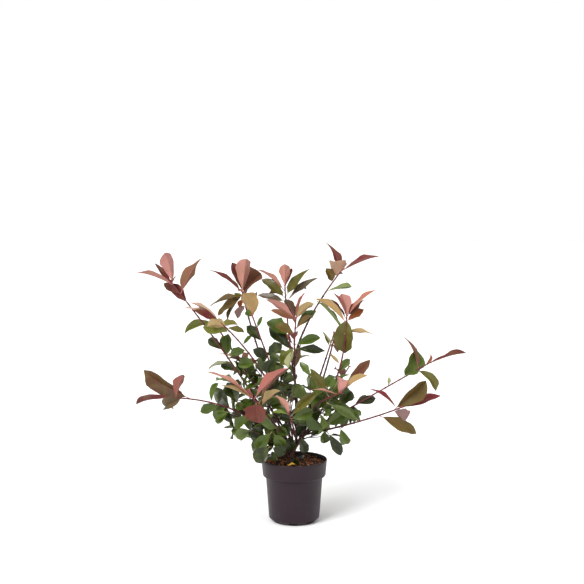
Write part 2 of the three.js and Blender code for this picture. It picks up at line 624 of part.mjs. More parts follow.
// Leaves in a spiral along one stem or twig of a spray, from its tip back to its bare foot.
function leafRow(mass, route, row, bare) {
  const length = route.getLength();
  const count = Math.floor((length * (1 - bare)) / SPRAY_INTERNODE);
  const word = mass.spray.name;
  for (let index = 0; index < count; index += 1) {
    const along = 1 - (EXTRA_START + index * SPRAY_INTERNODE) / length;
    const size = between(MATURE_SHORTEST, MATURE_LONGEST, chance(word, row, index));
    const open = between(MATURE_LEAST_SPREAD, MATURE_MOST_SPREAD, chance(word, row, index, 1));
    const spread = index === 0 ? END_LEAF_SPREAD : open;
    const azimuth = chance(word, row) * 360 + index * GOLDEN_ANGLE;
    const tries = SPIRAL_SWINGS.map((swing) => spiralLeaf(
      route, along, azimuth + swing, spread, size, MATURE_SLIMNESS, MATURE_BEND, true));
    placeLeaf(mass, tries.filter((leaf) => staysInside(mass, leaf)));
  }
}

function staysInside(mass, leaf) {
  const tip = leaf.root.clone().addScaledVector(leaf.direction, leaf.length);
  let nearest = Infinity;
  for (const point of mass.route.getPoints(SPRAY_CHECKS)) nearest = Math.min(nearest, point.distanceTo(tip));
  return nearest < SPRAY_GIRTH && tip.z > SPRAY_LOWEST;
}

function fillSpray(mass) {
  leafRow(mass, mass.route, 0, SPRAY_BARE_SHARE);
  mass.twigs.forEach((route, index) => leafRow(mass, route, index + 1, TWIG_BARE_SHARE));
}

function joinedMass(mass) {
  return largestBody(wasm.Manifold.union(mass.pieces.map((piece) => piece.solid)).simplify(MERGE_WITHIN));
}

// ---- Assembly ----

const plant = new THREE.Group();

function addMesh(name, solid, colour, roughness) {
  const material = new THREE.MeshStandardMaterial({ color: colour, roughness, metalness: 0 });
  const mesh = new THREE.Mesh(geometryOf(solid), material);
  mesh.name = name;
  plant.add(mesh);
}

const pot = potSolid();
const soil = soilSolid();
addMesh("pot", pot, COLOURS.pot, 0.55);
addMesh("potting_soil", soil, COLOURS.soil, 0.95);
obstacles.push(bodyOf("pot", pot), bodyOf("soil", soil));

addTrunk();
addMesh("trunk", limbs.trunk.solid, COLOURS.bark, 0.8);
SHOOTS.forEach(addBough);
for (const shoot of SHOOTS) addMesh(`bough_${shoot.name}`, limbs[shoot.name].solid, COLOURS.bough, 0.6);
for (const [name, limb] of Object.entries(limbs)) obstacles.push(bodyOf(name, limb.solid));

const tipMasses = SHOOTS.map(startTipMass);
const sprayMasses = SPRAYS.map(startSpray);
tipMasses.forEach(fillTipMass);
sprayMasses.forEach(fillSpray);
for (const mass of tipMasses) addMesh(mass.name, joinedMass(mass), COLOURS.young, 0.45);
for (const mass of sprayMasses) addMesh(mass.name, joinedMass(mass), COLOURS.green, 0.35);

export default plant;
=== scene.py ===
"""A young photinia with red new leaves, in its round nursery pot.

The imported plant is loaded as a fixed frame, and every piece here is built around it. Crown sizes are in
millimetres and turned to metres when a mesh is made. -Y is the front and +Z is up.
"""

import math
from dataclasses import dataclass
from functools import partial

import bmesh
import bpy
import numpy as np
from bpy.props import FloatProperty, FloatVectorProperty, IntProperty, PointerProperty
from mathutils import Matrix, Vector, noise
from mathutils.bvhtree import BVHTree


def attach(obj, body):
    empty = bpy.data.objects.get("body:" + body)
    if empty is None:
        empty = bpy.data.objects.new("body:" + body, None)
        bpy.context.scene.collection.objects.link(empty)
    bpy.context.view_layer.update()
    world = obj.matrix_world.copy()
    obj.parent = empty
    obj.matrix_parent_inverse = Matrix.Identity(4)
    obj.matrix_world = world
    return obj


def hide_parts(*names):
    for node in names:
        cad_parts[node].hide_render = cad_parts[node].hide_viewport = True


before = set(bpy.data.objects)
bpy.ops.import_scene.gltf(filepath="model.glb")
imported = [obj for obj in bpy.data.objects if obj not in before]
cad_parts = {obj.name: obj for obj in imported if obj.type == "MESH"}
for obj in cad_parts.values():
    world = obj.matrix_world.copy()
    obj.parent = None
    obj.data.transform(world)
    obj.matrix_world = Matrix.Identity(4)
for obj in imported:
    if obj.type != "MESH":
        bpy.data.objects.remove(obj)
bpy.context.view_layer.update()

bl_info = {
    "name": "Potted photinia",
    "version": (1, 0, 0),
    "blender": (4, 5, 0),
    "location": "View3D > Sidebar > Photinia",
    "description": "Dresses the photinia and its nursery pot with bark, leaves, soil and light",
    "category": "Add Mesh",
}

MM = 0.001


def linear(code):
    """The linear colour of an sRGB hex code."""
    parts = [int(code[start:start + 2], 16) / 255 for start in (0, 2, 4)]
    return tuple(part / 12.92 if part <= 0.04045 else ((part + 0.055) / 1.055) ** 2.4 for part in parts)


# ---- The crown's plan, as the solids have it, but for one bough ----

# A shoot springs from its parent at a share of that one's length and runs to its tip, bowed off the
# straight line. Its leaves are (distance back from the tip, heading in the front view clockwise from
# upright, length, face, length over width, tone, style) and, where it matters, the sideways sweep in
# degrees. Face 1 shows the upper side to the front and leans away, -1 shows the underside. The number
# before them adds leaves by the spiral rule. Only right_thin is bowed 12 mm further to the right than
# its solid, so its bark runs beside that solid by up to 6 mm.
SHOOTS = [
    ("left_high", "trunk", 0.16, (-308, -40, 622), (18, 0, 12), 2, [
        (0, -12, 87, -1, 2.7, "pink", "obovate", -30),
        (0, -42, 71, 0.5, 5.8, "maroon", "plain", 16),
        (7, -69, 99, -0.6, 5.8, "salmon", "plain", -22),
        (65, -40, 66, 0.6, 2.7, "maroon", "plain", 0),
        (35, 32, 117, -1, 4.3, "blush", "tailed", 8),
        (36, -65, 60, 1.6, 3.1, "mauve", "plain", 10),
        (216, -55, 50, 1, 2.3, "dark", "plain"),
        (234, 3, 60, 1, 1.75, "green", "plain"),
        (256, -107, 68, 1, 5.7, "lime", "plain", -44),
        (274, -85, 42, 1, 1.9, "dark", "plain")]),
    ("left_mid", "trunk", 0.36, (-186, -70, 528), (55, 0, 28), 2, [
        (0, -66, 75, 0.1, 4.4, "maroon", "plain", -8),
        (24, -84, 51, -1, 1.7, "fawn", "plain", -62),
        (38, -83, 76, 1, 2.4, "lime", "plain", -14),
        (22, 108, 50, 1, 3.2, "olive", "plain"),
        (84, 45, 36, 0.6, 3.4, "green", "plain"),
        (101, -105, 46, 1, 2, "green", "plain"),
        (145, -97, 50, 1, 1.9, "green", "plain"),
        (0, -60, 98, 1, 10.6, "blossom", "plain", 12),
        (0, -71, 106, 0.9, 8.9, "blossom", "plain", 4)]),
    ("left_thin", "trunk", 0.52, (-205, 40, 508), (-16, 0, 24), 1, [
        (2, -108, 92, 1, 4.5, "lime", "plain", -64),
        (30, 160, 44, -0.8, 2.6, "lime", "plain"),
        (6, 85, 60, -1, 3, "olive", "plain")]),
    ("rear_left_high", "trunk", 0.66, (-135, 60, 590), (-30, 0, 0), 2, [
        (0, 7, 97, -1, 2.7, "salmon", "obovate", 0),
        (0, -20, 86, 0.8, 3.3, "maroon", "obovate", -14),
        (0, -59, 112, 0.6, 6.1, "maroon", "tailed", 4),
        (7, 30, 75, 1, 1.5, "umber", "obovate", 24),
        (6, -132, 97, 1, 4.2, "bronze", "wavy", 6),
        (6, -152, 93, 0.8, 6.1, "bronze", "wavy", 0),
        (12, -109, 102, 1, 5.7, "bronze", "tailed", 0),
        (34, -150, 42, -0.6, 2, "mauve", "plain"),
        (14, -172, 34, 0.6, 2.2, "rust", "plain"),
        (6, -125, 31, 1, 2.0, "olive", "plain", 0)]),
    ("left_inner", "trunk", 0.8, (-105, -60, 541), (-5, 0, 0), 1, [
        (0, -22, 68, -1, 1.8, "tan", "plain", -34),
        (1, -52, 23, 1, 1.6, "green", "plain", 0),
        (72, -58, 58, 1, 2.3, "dark", "plain"),
        (34, 25, 34, 0.7, 3.4, "green", "plain"),
        (116, 50, 50, 1, 1.9, "dark", "plain"),
        (120, -60, 48, 1, 1.9, "dark", "plain")]),
    ("centre", "trunk", 0.9, (4, -70, 535), (-22, 0, 0), 2, [
        (0, -54, 98, -1, 4.9, "salmon", "plain", -10),
        (0, -26, 65, -1, 2.6, "smoke", "plain", 6),
        (1, 48, 66, -1, 2.6, "fawn", "plain", 34),
        (0, 25, 78, -0.7, 8.0, "rose", "plain", 10),
        (4, -69, 72, 1, 4.1, "blush", "plain", 2),
        (26, 51, 73, 1, 3.1, "green", "plain", 10),
        (42, -68, 56, 1, 2.4, "bronze", "plain", -14),
        (28, 49, 59, -0.6, 3.8, "bronze", "plain", -10),
        (70, 76, 72, 1, 3, "green", "plain"),
        (80, 98, 84, 1, 4, "dark", "wavy"),
        (76, -145, 64, 1, 2.3, "lime", "plain"),
        (82, -160, 50, -1, 2.2, "pale", "plain")]),
    ("centre_tall", "centre", 0.4, (-24, 30, 606), (-6, 0, 0), 2, [
        (1, -1, 65, -1, 2.4, "salmon", "obovate", -6),
        (1, 21, 54, 1, 3.2, "mauve", "folded", -14),
        (12, -52, 96, -0.6, 6.2, "salmon", "plain", -12),
        (29, -54, 83, 1, 2.9, "olive", "plain", 6),
        (25, 43, 102, 1, 4.2, "olive", "tailed", 10),
        (38, 55, 108, 1, 5.5, "grey", "plain", 0),
        (38, -79, 80, 1, 4.2, "grey", "plain", 0),
        (126, -62, 70, 1, 1.9, "green", "plain", 0),
        (165, -46, 84, 1, 2.6, "dark", "plain")]),
    ("right_high", "centre", 0.68, (122, 40, 647), (-34, 40, -14), 2, [
        (0, -29, 86, 1, 4.3, "mauve", "tailed", -24),
        (21, -10, 45, -1, 1.0, "sand", "cupped", 0),
        (39, -12, 43, 1, 1.7, "bronze", "plain", -10),
        (0, 67, 107, -0.7, 12.0, "red", "plain", 10),
        (66, 77, 70, -1, 4.8, "sage", "spoon", 6)]),
    ("rear_right_high", "trunk", 0.7, (107, 150, 467), (0, 20, 0), 4, [
        (38, -25, 46, 0.8, 4.5, "olive", "plain")]),
    ("right_thin", "trunk", 0.86, (106, 70, 472), (12, 10, 0), 0, [
        (0, 176, 27, 1, 1.7, "rust", "plain", 0),
        (32, -29, 41, 0.8, 6.4, "pale", "plain", 0)]),
    ("right_mid", "trunk", 0.95, (133, -30, 538), (54, 0, -22), 1, [
        (0, -14, 65, -1, 2.1, "pink", "obovate", -16),
        (0, -30, 75, -0.6, 10.1, "rose", "plain", 0),
        (0, 47, 103, -0.6, 11.6, "salmon", "plain", 0),
        (15, 56, 55, 0.6, 2.7, "rust", "plain", 8),
        (0, 62, 68, 1.4, 3.9, "umber", "tailed", 8),
        (19, -52, 110, -1, 5.3, "tan", "plain", -10),
        (10, -45, 70, 0.6, 7, "mauve", "plain"),
        (0, -178, 104, 1, 2.1, "olive", "plain", 0),
        (50, -42, 121, 1, 10.6, "sage", "plain", 14),
        (42, 96, 74, -0.6, 5.0, "fawn", "tailed", 4),
        (129, -47, 40, 1, 4.9, "fawn", "plain", 8),
        (150, 45, 46, 1, 2.6, "green", "plain")]),
    ("front_right", "trunk", 0.84, (111, -150, 362), (-50, 0, 25), 1, [
        (3, 0, 46, -1, 1.6, "pink", "obovate", 0),
        (0, 45, 116, 1, 6.2, "umber", "obovate", -14),
        (7, 56, 93, -1, 8.1, "tan", "obovate", 16),
        (9, -81, 73, -0.8, 5.9, "salmon", "tailed", 8),
        (36, -34, 90, 1, 4.0, "olive", "plain", 4)]),
    ("right_long", "trunk", 1, (350, 40, 405), (-10, 0, -4), 2, [
        (7, 75, 113, 0.6, 6.0, "mauve", "spoon", 6),
        (76, 25, 86, 1, 1.6, "leaf", "plain", 0),
        (30, -39, 103, -0.8, 8.7, "umber", "tailed", -10),
        (37, 138, 83, 0.7, 3.6, "olive", "plain", 58),
        (10, 20, 30, 0.5, 3, "salmon", "curled"),
        (122, 5, 26, 0.6, 2.6, "pale", "plain"),
        (216, 77, 56, 1, 2.7, "dark", "plain"),
        (224, 52, 44, 1, 2.8, "grey", "plain"),
        (250, -60, 50, 1, 2.2, "green", "plain")]),
    ("right_low", "trunk", 0.98, (267, -60, 307), (10, 0, -8), 2, [
        (7, -57, 87, 1, 6.4, "red", "plain", -30),
        (17, 47, 113, 0.4, 2.6, "bronze", "obovate", 14),
        (5, 77, 123, 1, 5.8, "red", "plain", 4),
        (18, 131, 40, -1, 1.1, "mauve", "cupped", 0),
        (59, 120, 125, 1, 4.3, "bronze", "wavy", 4),
        (112, -56, 90, 1, 5, "green", "plain")]),
    ("left_low", "trunk", 0.26, (-303, -40, 329), (35, 0, 68), 2, [
        (41, -64, 152, 1, 3.9, "chestnut", "wavy", 4),
        (0, 19, 75, -1, 2.9, "rose", "obovate", 14),
        (0, -101, 110, 0.8, 6.1, "maroon", "spoon", -18),
        (18, -122, 52, 1, 1.9, "smoke", "curled"),
        (118, -110, 60, 1, 2.3, "green", "plain"),
        (96, 18, 52, 1, 3.4, "green", "arched"),
        (148, -38, 68, 1, 2.2, "dark", "plain"),
        (132, -139, 50, 1, 1.6, "green", "plain"),
        (136, 161, 46, 1, 1.6, "dark", "plain"),
        (165, 60, 46, 1, 1.9, "green", "plain")]),
    ("front_left", "trunk", 0.44, (-101, -170, 354), (-10, -25, 20), 1, [
        (1, -59, 136, -0.8, 6.0, "salmon", "plain", -8),
        (8, -65, 92, -0.6, 9.0, "fawn", "plain", -8),
        (8, -20, 33, -1, 2.2, "rose", "folded", 0),
        (6, 46, 124, -1, 4.7, "rose", "plain", 12),
        (31, 42, 110, 0.6, 8.3, "umber", "plain", 14),
        (44, 48, 69, -0.8, 2.8, "fawn", "plain", 16),
        (20, 177, 60, 1, 1.2, "mauve", "heart", 0)]),
    ("front_low", "trunk", 0.62, (-13, -150, 312), (0, -25, 10), 1, [
        (17, -34, 69, -1, 4.0, "salmon", "plain", -24),
        (20, 50, 95, 1, 4.3, "olive", "plain", 18),
        (6, -80, 46, -0.8, 3.6, "green", "plain"),
        (30, 72, 62, 1, 2.2, "green", "plain")]),
    ("rear_left", "trunk", 0.3, (-150, 200, 395), (0, 20, 20), 12, []),
    ("rear_centre", "trunk", 0.56, (0, 225, 440), (0, 30, 10), 12, []),
    ("rear_right", "trunk", 0.78, (150, 215, 365), (10, 20, 0), 12, []),
    ("rear_low", "trunk", 0.4, (-30, 232, 292), (0, 30, 30), 12, []),
]

# A green spray springs from its parent and branches inside its own girth.
SPRAYS = [
    ("left_outer", "left_low", 0.3, (-185, -15, 285), "dark"),
    ("left_low", "left_low", 0.12, (-120, -50, 240), "green"),
    ("left_upper", "left_high", 0.27, (-150, 15, 350), "green"),
    ("left_top", "left_thin", 0.36, (-95, 45, 415), "olive"),
    ("middle_upper", "left_mid", 0.3, (-60, -70, 365), "dark"),
    ("right_upper", "right_mid", 0.25, (85, -50, 355), "green"),
    ("right_outer", "right_long", 0.17, (140, 12, 298), "dark"),
    ("right_low", "trunk", 0.74, (100, -60, 240), "green"),
    ("front_left_low", "trunk", 0.22, (-70, -75, 228), "green"),
    ("front_low", "trunk", 0.5, (0, -95, 245), "dark"),
    ("front_upper", "trunk", 0.58, (45, -95, 315), "green"),
    ("rear_left_low", "rear_left", 0.16, (-100, 120, 265), "dark"),
    ("rear_right_low", "rear_right", 0.22, (105, 105, 275), "green"),
    ("middle_rear", "rear_left_high", 0.22, (-15, 80, 345), "dark"),
]

# A sprig springs from a bough or a spray, as part of a spray's solid, and carries the listed leaves.
SPRIGS = [
    ("right_low", "right_low", 0.2, (88, -22, 233), [
        (3, 151, 76, 1, 3.0, "dark", "plain", 8),
        (20, 179, 39, 1, 1.6, "green", "plain", 0)]),
    ("right_low", "right_low", 0.37, (117, -26, 248), [
        (2, 159, 56, 1, 2.4, "sage", "plain", 12)]),
    ("front_upper", "front_right", 0.46, (29, -66, 306), [
        (0, 141, 76, 1, 2.0, "green", "plain", 6)]),
    ("front_upper", "front_right", 0.8, (80, -128, 334), [
        (0, 124, 96, 1, 6.6, "sage", "plain", 0)]),
    ("right_low", "right_low", 0.22, (83, -26, 256), [
        (6, 60, 62, 1, 2.1, "green", "plain", 10)]),
    ("right_outer", "right_long", 0.31, (136, -4, 291), [
        (1, 125, 41, 1, 1.4, "green", "plain", 0)]),
    ("right_outer", "right_long", 0.3, (116, -20, 313), [
        (0, 51, 44, 1, 1.4, "dark", "plain", 0)]),
    ("front_upper", "front_right", 0.5, (31, -84, 331), [
        (0, -42, 56, 1, 1.8, "sage", "plain", 0)]),
    ("front_low", "front_low", 0.8, (-10, -104, 341), [
        (1, -105, 57, 0.8, 2.4, "sage", "plain", -10),
        (32, -77, 59, 1, 2.7, "green", "plain", 0)]),
    ("front_left_low", "front_left", 0.72, (-99, -112, 296), [
        (0, -126, 65, 1, 2.6, "green", "plain", -26),
        (25, 145, 57, 1, 1.9, "green", "plain", 6)]),
    ("front_left_low", "inner_front_left_low", 0.5, (-109, -84, 255), [
        (0, -121, 46, 1, 1.7, "sage", "plain", -16),
        (48, -55, 43, 1, 1.4, "dark", "plain", 0),
        (51, -88, 40, 0.8, 1.5, "dark", "plain", 0)]),
    ("front_low", "trunk", 0.24, (-56, -80, 251), [
        (0, -145, 75, 1, 2.3, "green", "plain", -8),
        (10, 148, 52, 1, 1.8, "green", "plain", 6)]),
    ("front_low", "trunk", 0.08, (-62, -84, 214), [
        (1, -141, 61, 1, 1.7, "dark", "plain", -10),
        (11, 119, 43, 1, 1.7, "dark", "plain", 14)]),
    ("front_low", "trunk", 0.6, (18, -44, 229), [
        (3, 165, 47, 1, 2.0, "slate", "plain", 0)]),
    ("front_low", "trunk", 0.3, (-14, -40, 233), [
        (1, 171, 45, 1, 1.6, "dark", "plain", 0)]),
    ("front_low", "trunk", 0.1, (-1, -32, 173), [
        (1, 169, 27, 1, 1.3, "dark", "plain", 0)]),
    ("right_low", "trunk", 0.3, (31, -14, 177), [
        (0, -102, 26, 1, 2.1, "slate", "plain", 0)]),
    ("front_upper", "inner_front_upper", 0.8, (42, -96, 392), [
        (0, -39, 49, 1, 2.9, "sage", "plain", 0)]),
    ("front_upper", "front_right", 0.8, (81, -124, 370), [
        (0, 30, 31, 1, 1.2, "green", "plain", 0)]),
    ("middle_upper", "inner_middle_upper", 0.85, (-68, -76, 398), [
        (0, -34, 43, 1, 2.2, "dark", "plain", 0),
        (0, 27, 39, 1, 2.0, "dark", "plain", 0)]),
    ("front_low", "front_low", 0.9, (4, -90, 384), [
        (0, -89, 30, 1, 1.4, "dark", "plain", 0)]),
    ("left_outer", "left_low", 0.36, (-148, -40, 322), [
        (36, -66, 29, 1, 1.4, "green", "plain", 0)]),
    ("left_low", "left_low", 0.3, (-170, -44, 296), [
        (4, -116, 42, 1, 2.0, "green", "cupped", 0),
        (4, -136, 50, 1, 2.5, "green", "plain", 0)]),
    ("front_low", "front_low", 0.7, (-1, -100, 283), [
        (1, -75, 38, 1, 1.5, "dark", "plain", 0),
        (1, 76, 35, 1, 1.5, "green", "plain", 0)]),
    ("front_low", "trunk", 0.5, (-14, -64, 237), [
        (0, -60, 38, 1, 1.7, "green", "plain", -8),
        (0, -23, 33, 1, 1.5, "dark", "plain", 0)]),
    ("front_upper", "front_right", 0.36, (8, -60, 262), [
        (0, 50, 34, 1, 1.4, "dark", "plain", 0),
        (0, 17, 24, 1, 1.2, "green", "plain", 0)]),
]

# Where the crown stays open as seen from the front: across, height and radius. No leaf that the rule
# adds has its middle line there.
OPEN_SPOTS = [
    (-25, 238, 9), (-1, 236, 11), (5, 201, 8), (55, 207, 17), (50, 178, 16), (82, 188, 11), (-125, 188, 19),
    (-141, 162, 19), (-170, 233, 16), (59, 424, 12), (67, 392, 9), (-61, 463, 14), (96, 392, 9),
    (-100, 445, 12), (148, 233, 16), (117, 162, 16), (77, 402, 11), (69, 437, 11), (132, 437, 9),
]

# Wood
TRUNK_FOOT = (-15, 12, 152.3)
TRUNK_TOP = (28, 5, 226)
TRUNK_BOW = (-4, 0, 6)
ROOT_FLARE = 0.35
ROOT_FLARE_REACH = 0.16
TRUNK_RINGS = 64
TRUNK_END_SHARES = (0.985, 0.993, 1.0)
TRUNK_END_RADII = (0.94, 0.72, 0.3)
FORK_SWELL = 0.1
FORK_REACH = 0.02
LEAFY_STEM_RADIUS = 2.2
STEM_TIP_RADIUS = 1.75
TWIG_RADIUS = 1.4
TWIG_TIP_RADIUS = 0.8
SPRIG_TIP_RADIUS = 0.9
ENTRY = 12
LEAST_ENTRY = 0.25
ROUTE_STEPS = 200
NODE_SPACING = 21
NODE_SWELL = 0.22
NODE_REACH = 1.6
NODE_MARKS = (-1.2, -0.5, 0, 0.5, 1.2)
SCARS_FROM_START = 8
SCARS_FROM_END = 4
FAR_FROM_SCARS = 99.0
RING_SPACING = 6
COLLAR_SWELL = 0.7
COLLAR_REACH = 5
OLD_SHARE = 0.42

# Buds: length and radius
SHOOT_BUD = (7.5, 1.6)
SPRAY_BUD = (5.0, 1.1)
SPRIG_BUD = (4.0, 1.0)
SCAR_BUD = (3.4, 1.0)
BUD_RINGS = ((-0.1, 0.55), (0.14, 0.95), (0.3, 0.86), (0.4, 1.0), (0.6, 0.68), (0.68, 0.74), (0.88, 0.3))
BUD_SIDES = 6

# Leaves
GOLDEN_ANGLE = 137.5
PETIOLE_SHARE = 0.09
MARGIN_PLAY = 0.06
MARGIN_WAVES = 19
RIPPLES = 11
WIDE_UNDER = 1.9
LANCE_FROM = 3.4
YOUNG_SLIMNESS = 2.9
MATURE_SLIMNESS = 1.85
FAN_FULLNESS = 0.88
TRUE_SLIMNESS = 4.4
TURNED_FROM = 4.6
TURNED_FULLNESS = 0.92
CAD_BEND = 24
CHORD_SHARE = 0.993
MATURE_BEND = 30
FAN_LEAN = 18
FAN_PLAY = 18
BACK_TURNS = (0, 28, -28, 14)
BACK_SPREAD = 80
FAN_STEMWARD = 0.7
FAN_FACING = 1.1
SPIRAL_STEMWARD = 0.6
SPIRAL_UPWARD = 0.7
LAST_LEAF_AT = 0.995
EXTRA_START = 3
EXTRA_INTERNODE = 13
EXTRA_ROOM = 14
EXTRA_SIZES = (62, 88)
EXTRA_SPREADS = (34, 66)
SPRAY_GIRTH = 82
SPRAY_LOWEST = 172
SPRAY_INTERNODE = 12
SPRAY_BARE_SHARE = 0.2
SPRAY_RISES = (6, 22)
SPRAY_TWIGS = [(0.26, 0.5), (0.36, 0.62), (0.48, 0.54), (0.58, 0.5), (0.7, 0.42), (0.8, 0.32)]
TWIG_TURN = 60
TWIG_SPREAD = 48
TWIG_SAG = 0.06
TWIG_BARE_SHARE = 0.3
END_LEAF_SPREAD = 12
MATURE_SPREADS = (46, 74)
FAN_SWINGS = (0, 6, -6, 12, -12)
SPIRAL_SWINGS = (0, 25, -25, 50, -50)
TEST_RINGS = (0.06, 0.35, 0.65, 0.96)
TEST_SIDES = (0.9, 0, -0.9)
TEST_WITHIN = 95
YOUNG_RINGS = (0.03, 0.08, 0.15, 0.23, 0.32, 0.42, 0.52, 0.61, 0.7, 0.78, 0.85, 0.91, 0.96, 0.988)
MATURE_RINGS = (0.05, 0.16, 0.33, 0.51, 0.68, 0.84, 0.95)
SIDES = (1, 0.55, 0, -0.55, -1)
SIGHT_SLOPE = 0.23
SPRIG_RISE = 4
ROOM_ROUND_SHOWN = 7
ROOM_BEHIND = 3.5
COVER_MARKS = (0.3, 0.6, 0.95)
COVER_SIDES = (0.8, 0, -0.8)
LEAST_SEEN = 0.1
LEAST_SPRAY_STEM = 0.86
SPRAY_TONE_SHARE = 0.6
LEAFLET_AT = 0.998
LEAFLET_TURN = 40
LEAFLET_SPREADS = (14, 30)
LEAFLET_SIZES = (8, 14)
LEAFLET_SLIMNESS = 3.6
LEAFLET_RED_FROM = 0.4
COARSE_FROM = 60
RIB_SHARES = (0, 0.06, PETIOLE_SHARE, 0.5, 0.94)
RIB_RADII = (1.15, 0.8, 0.72, 0.45, 0.2)
VEIN_SLANT = 1.3

# How a blade stands: degrees of bend, of tip curl, of sideways sweep and of twist over its length, the
# fold of each half off flat, and cup and wave as shares of the half width.
STYLES = {
    "plain": (16, 12, 7, 12, 35, -0.1, 0.17),
    "obovate": (10, 4, 7, 6, 38, -0.1, 0.1),
    "wavy": (20, 14, 8, 18, 28, -0.05, 0.28),
    "folded": (14, 8, 5, 8, 50, 0.0, 0.06),
    "tailed": (18, 24, 8, 14, 34, -0.05, 0.18),
    "spoon": (16, 12, 6, 10, 34, -0.05, 0.18),
    "arched": (82, 20, 8, 12, 32, -0.08, 0.1),
    "curled": (36, 100, 14, 24, 38, 0.1, 0.14),
    "cupped": (14, -10, 3, 6, 24, 0.25, 0.05),
    "heart": (14, 10, 3, 6, 22, -0.1, 0.16),
    "broad": (30, 26, 8, 12, 32, -0.14, 0.18),
}

# Half width of a blade as a share of its widest, at shares of its length.
OUTLINE_SHARES = (0, 0.06, 0.15, 0.28, 0.42, 0.54, 0.66, 0.78, 0.88, 0.95, 1)
OUTLINES = {
    "lance": (0, 0.2, 0.46, 0.78, 0.97, 1, 0.88, 0.64, 0.37, 0.16, 0),
    "slim": (0, 0.2, 0.42, 0.7, 0.92, 1, 0.95, 0.74, 0.42, 0.17, 0),
    "tailed": (0, 0.3, 0.66, 0.97, 1, 0.8, 0.48, 0.26, 0.15, 0.08, 0),
    "spoon": (0, 0.16, 0.3, 0.46, 0.66, 0.84, 0.98, 1, 0.78, 0.4, 0),
    "wide": (0, 0.26, 0.54, 0.8, 0.96, 1, 0.93, 0.72, 0.4, 0.16, 0),
    "obovate": (0, 0.16, 0.34, 0.58, 0.8, 0.95, 1, 0.9, 0.58, 0.25, 0),
    "cupped": (0, 0.2, 0.42, 0.66, 0.84, 0.94, 1, 1, 0.9, 0.62, 0),
    "heart": (0, 0.62, 0.92, 1, 0.98, 0.9, 0.76, 0.55, 0.34, 0.17, 0),
}

# Upper and under side of each tone of leaf, and whether the tone is of new or of grown leaves.
TONES = {
    "rose": ("8c4640", "965a52", True),
    "pink": ("9a544c", "b27a74", True),
    "salmon": ("96604e", "a8766a", True),
    "blossom": ("ab8e7b", "c4a494", True),
    "sand": ("94705a", "9e7c67", True),
    "tan": ("8e734a", "947950", True),
    "blush": ("845640", "845a44", True),
    "fawn": ("957f58", "957f58", True),
    "maroon": ("582624", "6e3c36", True),
    "umber": ("5a3628", "66463a", True),
    "smoke": ("5b4c38", "523e2e", True),
    "bronze": ("5c4a24", "604c2c", True),
    "chestnut": ("472f1a", "5c4630", True),
    "rust": ("703a1c", "84553a", True),
    "mauve": ("5c2e27", "735956", True),
    "red": ("6e282a", "8a4a48", True),
    "olive": ("544e18", "6a6630", False),
    "lime": ("5c6020", "767c40", False),
    "pale": ("a8a878", "a6a67a", False),
    "leaf": ("4e5e16", "64743a", False),
    "green": ("3d4d10", "60712f", False),
    # The dark tone's upper side is the leaves' own dark green made darker still: painted shade for leaves
    # that lie in the shade of others, low and deep in the crown.
    "dark": ("212a0a", "4b572f", False),
    "sage": ("4b5926", "6f7c4a", False),
    "slate": ("2e342b", "565c4c", False),
    "grey": ("564838", "6e5e4a", False),
}
YOUNG_STYLES = ("plain", "tailed", "arched", "wavy")
YOUNG_MIX = ("salmon", "rose", "maroon", "tan", "umber", "bronze", "umber", "olive", "bronze", "green")
GREEN_MIX = ("dark", "green", "leaf", "dark", "sage", "green", "dark", "lime")

FRONTWARD = np.array((0, -1, 0))
UP = np.array((0, 0, 1))


def chance(word, *keys):
    """A number from 0 to 1 that depends only on a word and on whole numbers."""
    state = 2166136261
    for value in [ord(letter) for letter in word] + [key + 101 for key in keys]:
        state = (state ^ value) * 16777619 & 0xFFFFFFFF
    state = (state ^ (state >> 15)) * 2246822519 & 0xFFFFFFFF
    state = (state ^ (state >> 13)) * 3266489917 & 0xFFFFFFFF
    return (state ^ (state >> 16)) / 4294967296


def between(ends, share):
    return ends[0] + (ends[1] - ends[0]) * share


def unit(vector):
    return vector / np.linalg.norm(vector, axis=-1, keepdims=True)


def square_to(direction, wanted):
    """The part of a vector that is square to a unit direction, made a unit vector."""
    return unit(wanted - direction * (wanted @ direction))


class Route:
    """A bowed line from a start to a tip, read by shares of its length."""

    def __init__(self, start, tip, bow):
        start = np.array(start, float)
        tip = np.array(tip, float)
        self.corners = (start, (start + tip) / 2 + np.array(bow, float), tip)
        self.turns = np.linspace(0, 1, ROUTE_STEPS + 1)
        steps = np.linalg.norm(np.diff(self.place(self.turns), axis=0), axis=1)
        self.runs = np.concatenate([[0], np.cumsum(steps)])
        self.length = self.runs[-1]

    def place(self, turn):
        turn = np.asarray(turn)[..., None]
        start, middle, tip = self.corners
        return (1 - turn) ** 2 * start + 2 * (1 - turn) * turn * middle + turn**2 * tip

    def turn_at(self, share):
        return np.interp(np.asarray(share) * self.length, self.runs, self.turns)

    def at(self, share):
        return self.place(self.turn_at(share))

    def ahead(self, share):
        turn = self.turn_at(share)[..., None]
        start, middle, tip = self.corners
        return unit((1 - turn) * (middle - start) + turn * (tip - middle))


def seen(points):
    """Where points lie in the front view: across, and up as the camera sees it from a little above."""
    return np.stack([points[..., 0], points[..., 2] + SIGHT_SLOPE * points[..., 1]], -1)


@dataclass
class Leaf:
    """One leaf: where its stalk starts, the way its tip lies, its upper side's way, and its form."""

    root: np.ndarray
    chord: np.ndarray
    upper: np.ndarray
    length: float
    slimness: float
    tone: str
    style: str
    mass: str
    seed: float
    sweep: float = None


@dataclass
class Stem:
    """A stretch of a stem: its points, its radius at each, and the solid that it belongs to."""

    points: np.ndarray
    radii: np.ndarray
    mass: str


def turned_about(axis, vector, angle):
    """A vector square to a unit axis, turned about it."""
    return vector * math.cos(angle) + np.cross(axis, vector) * math.sin(angle)


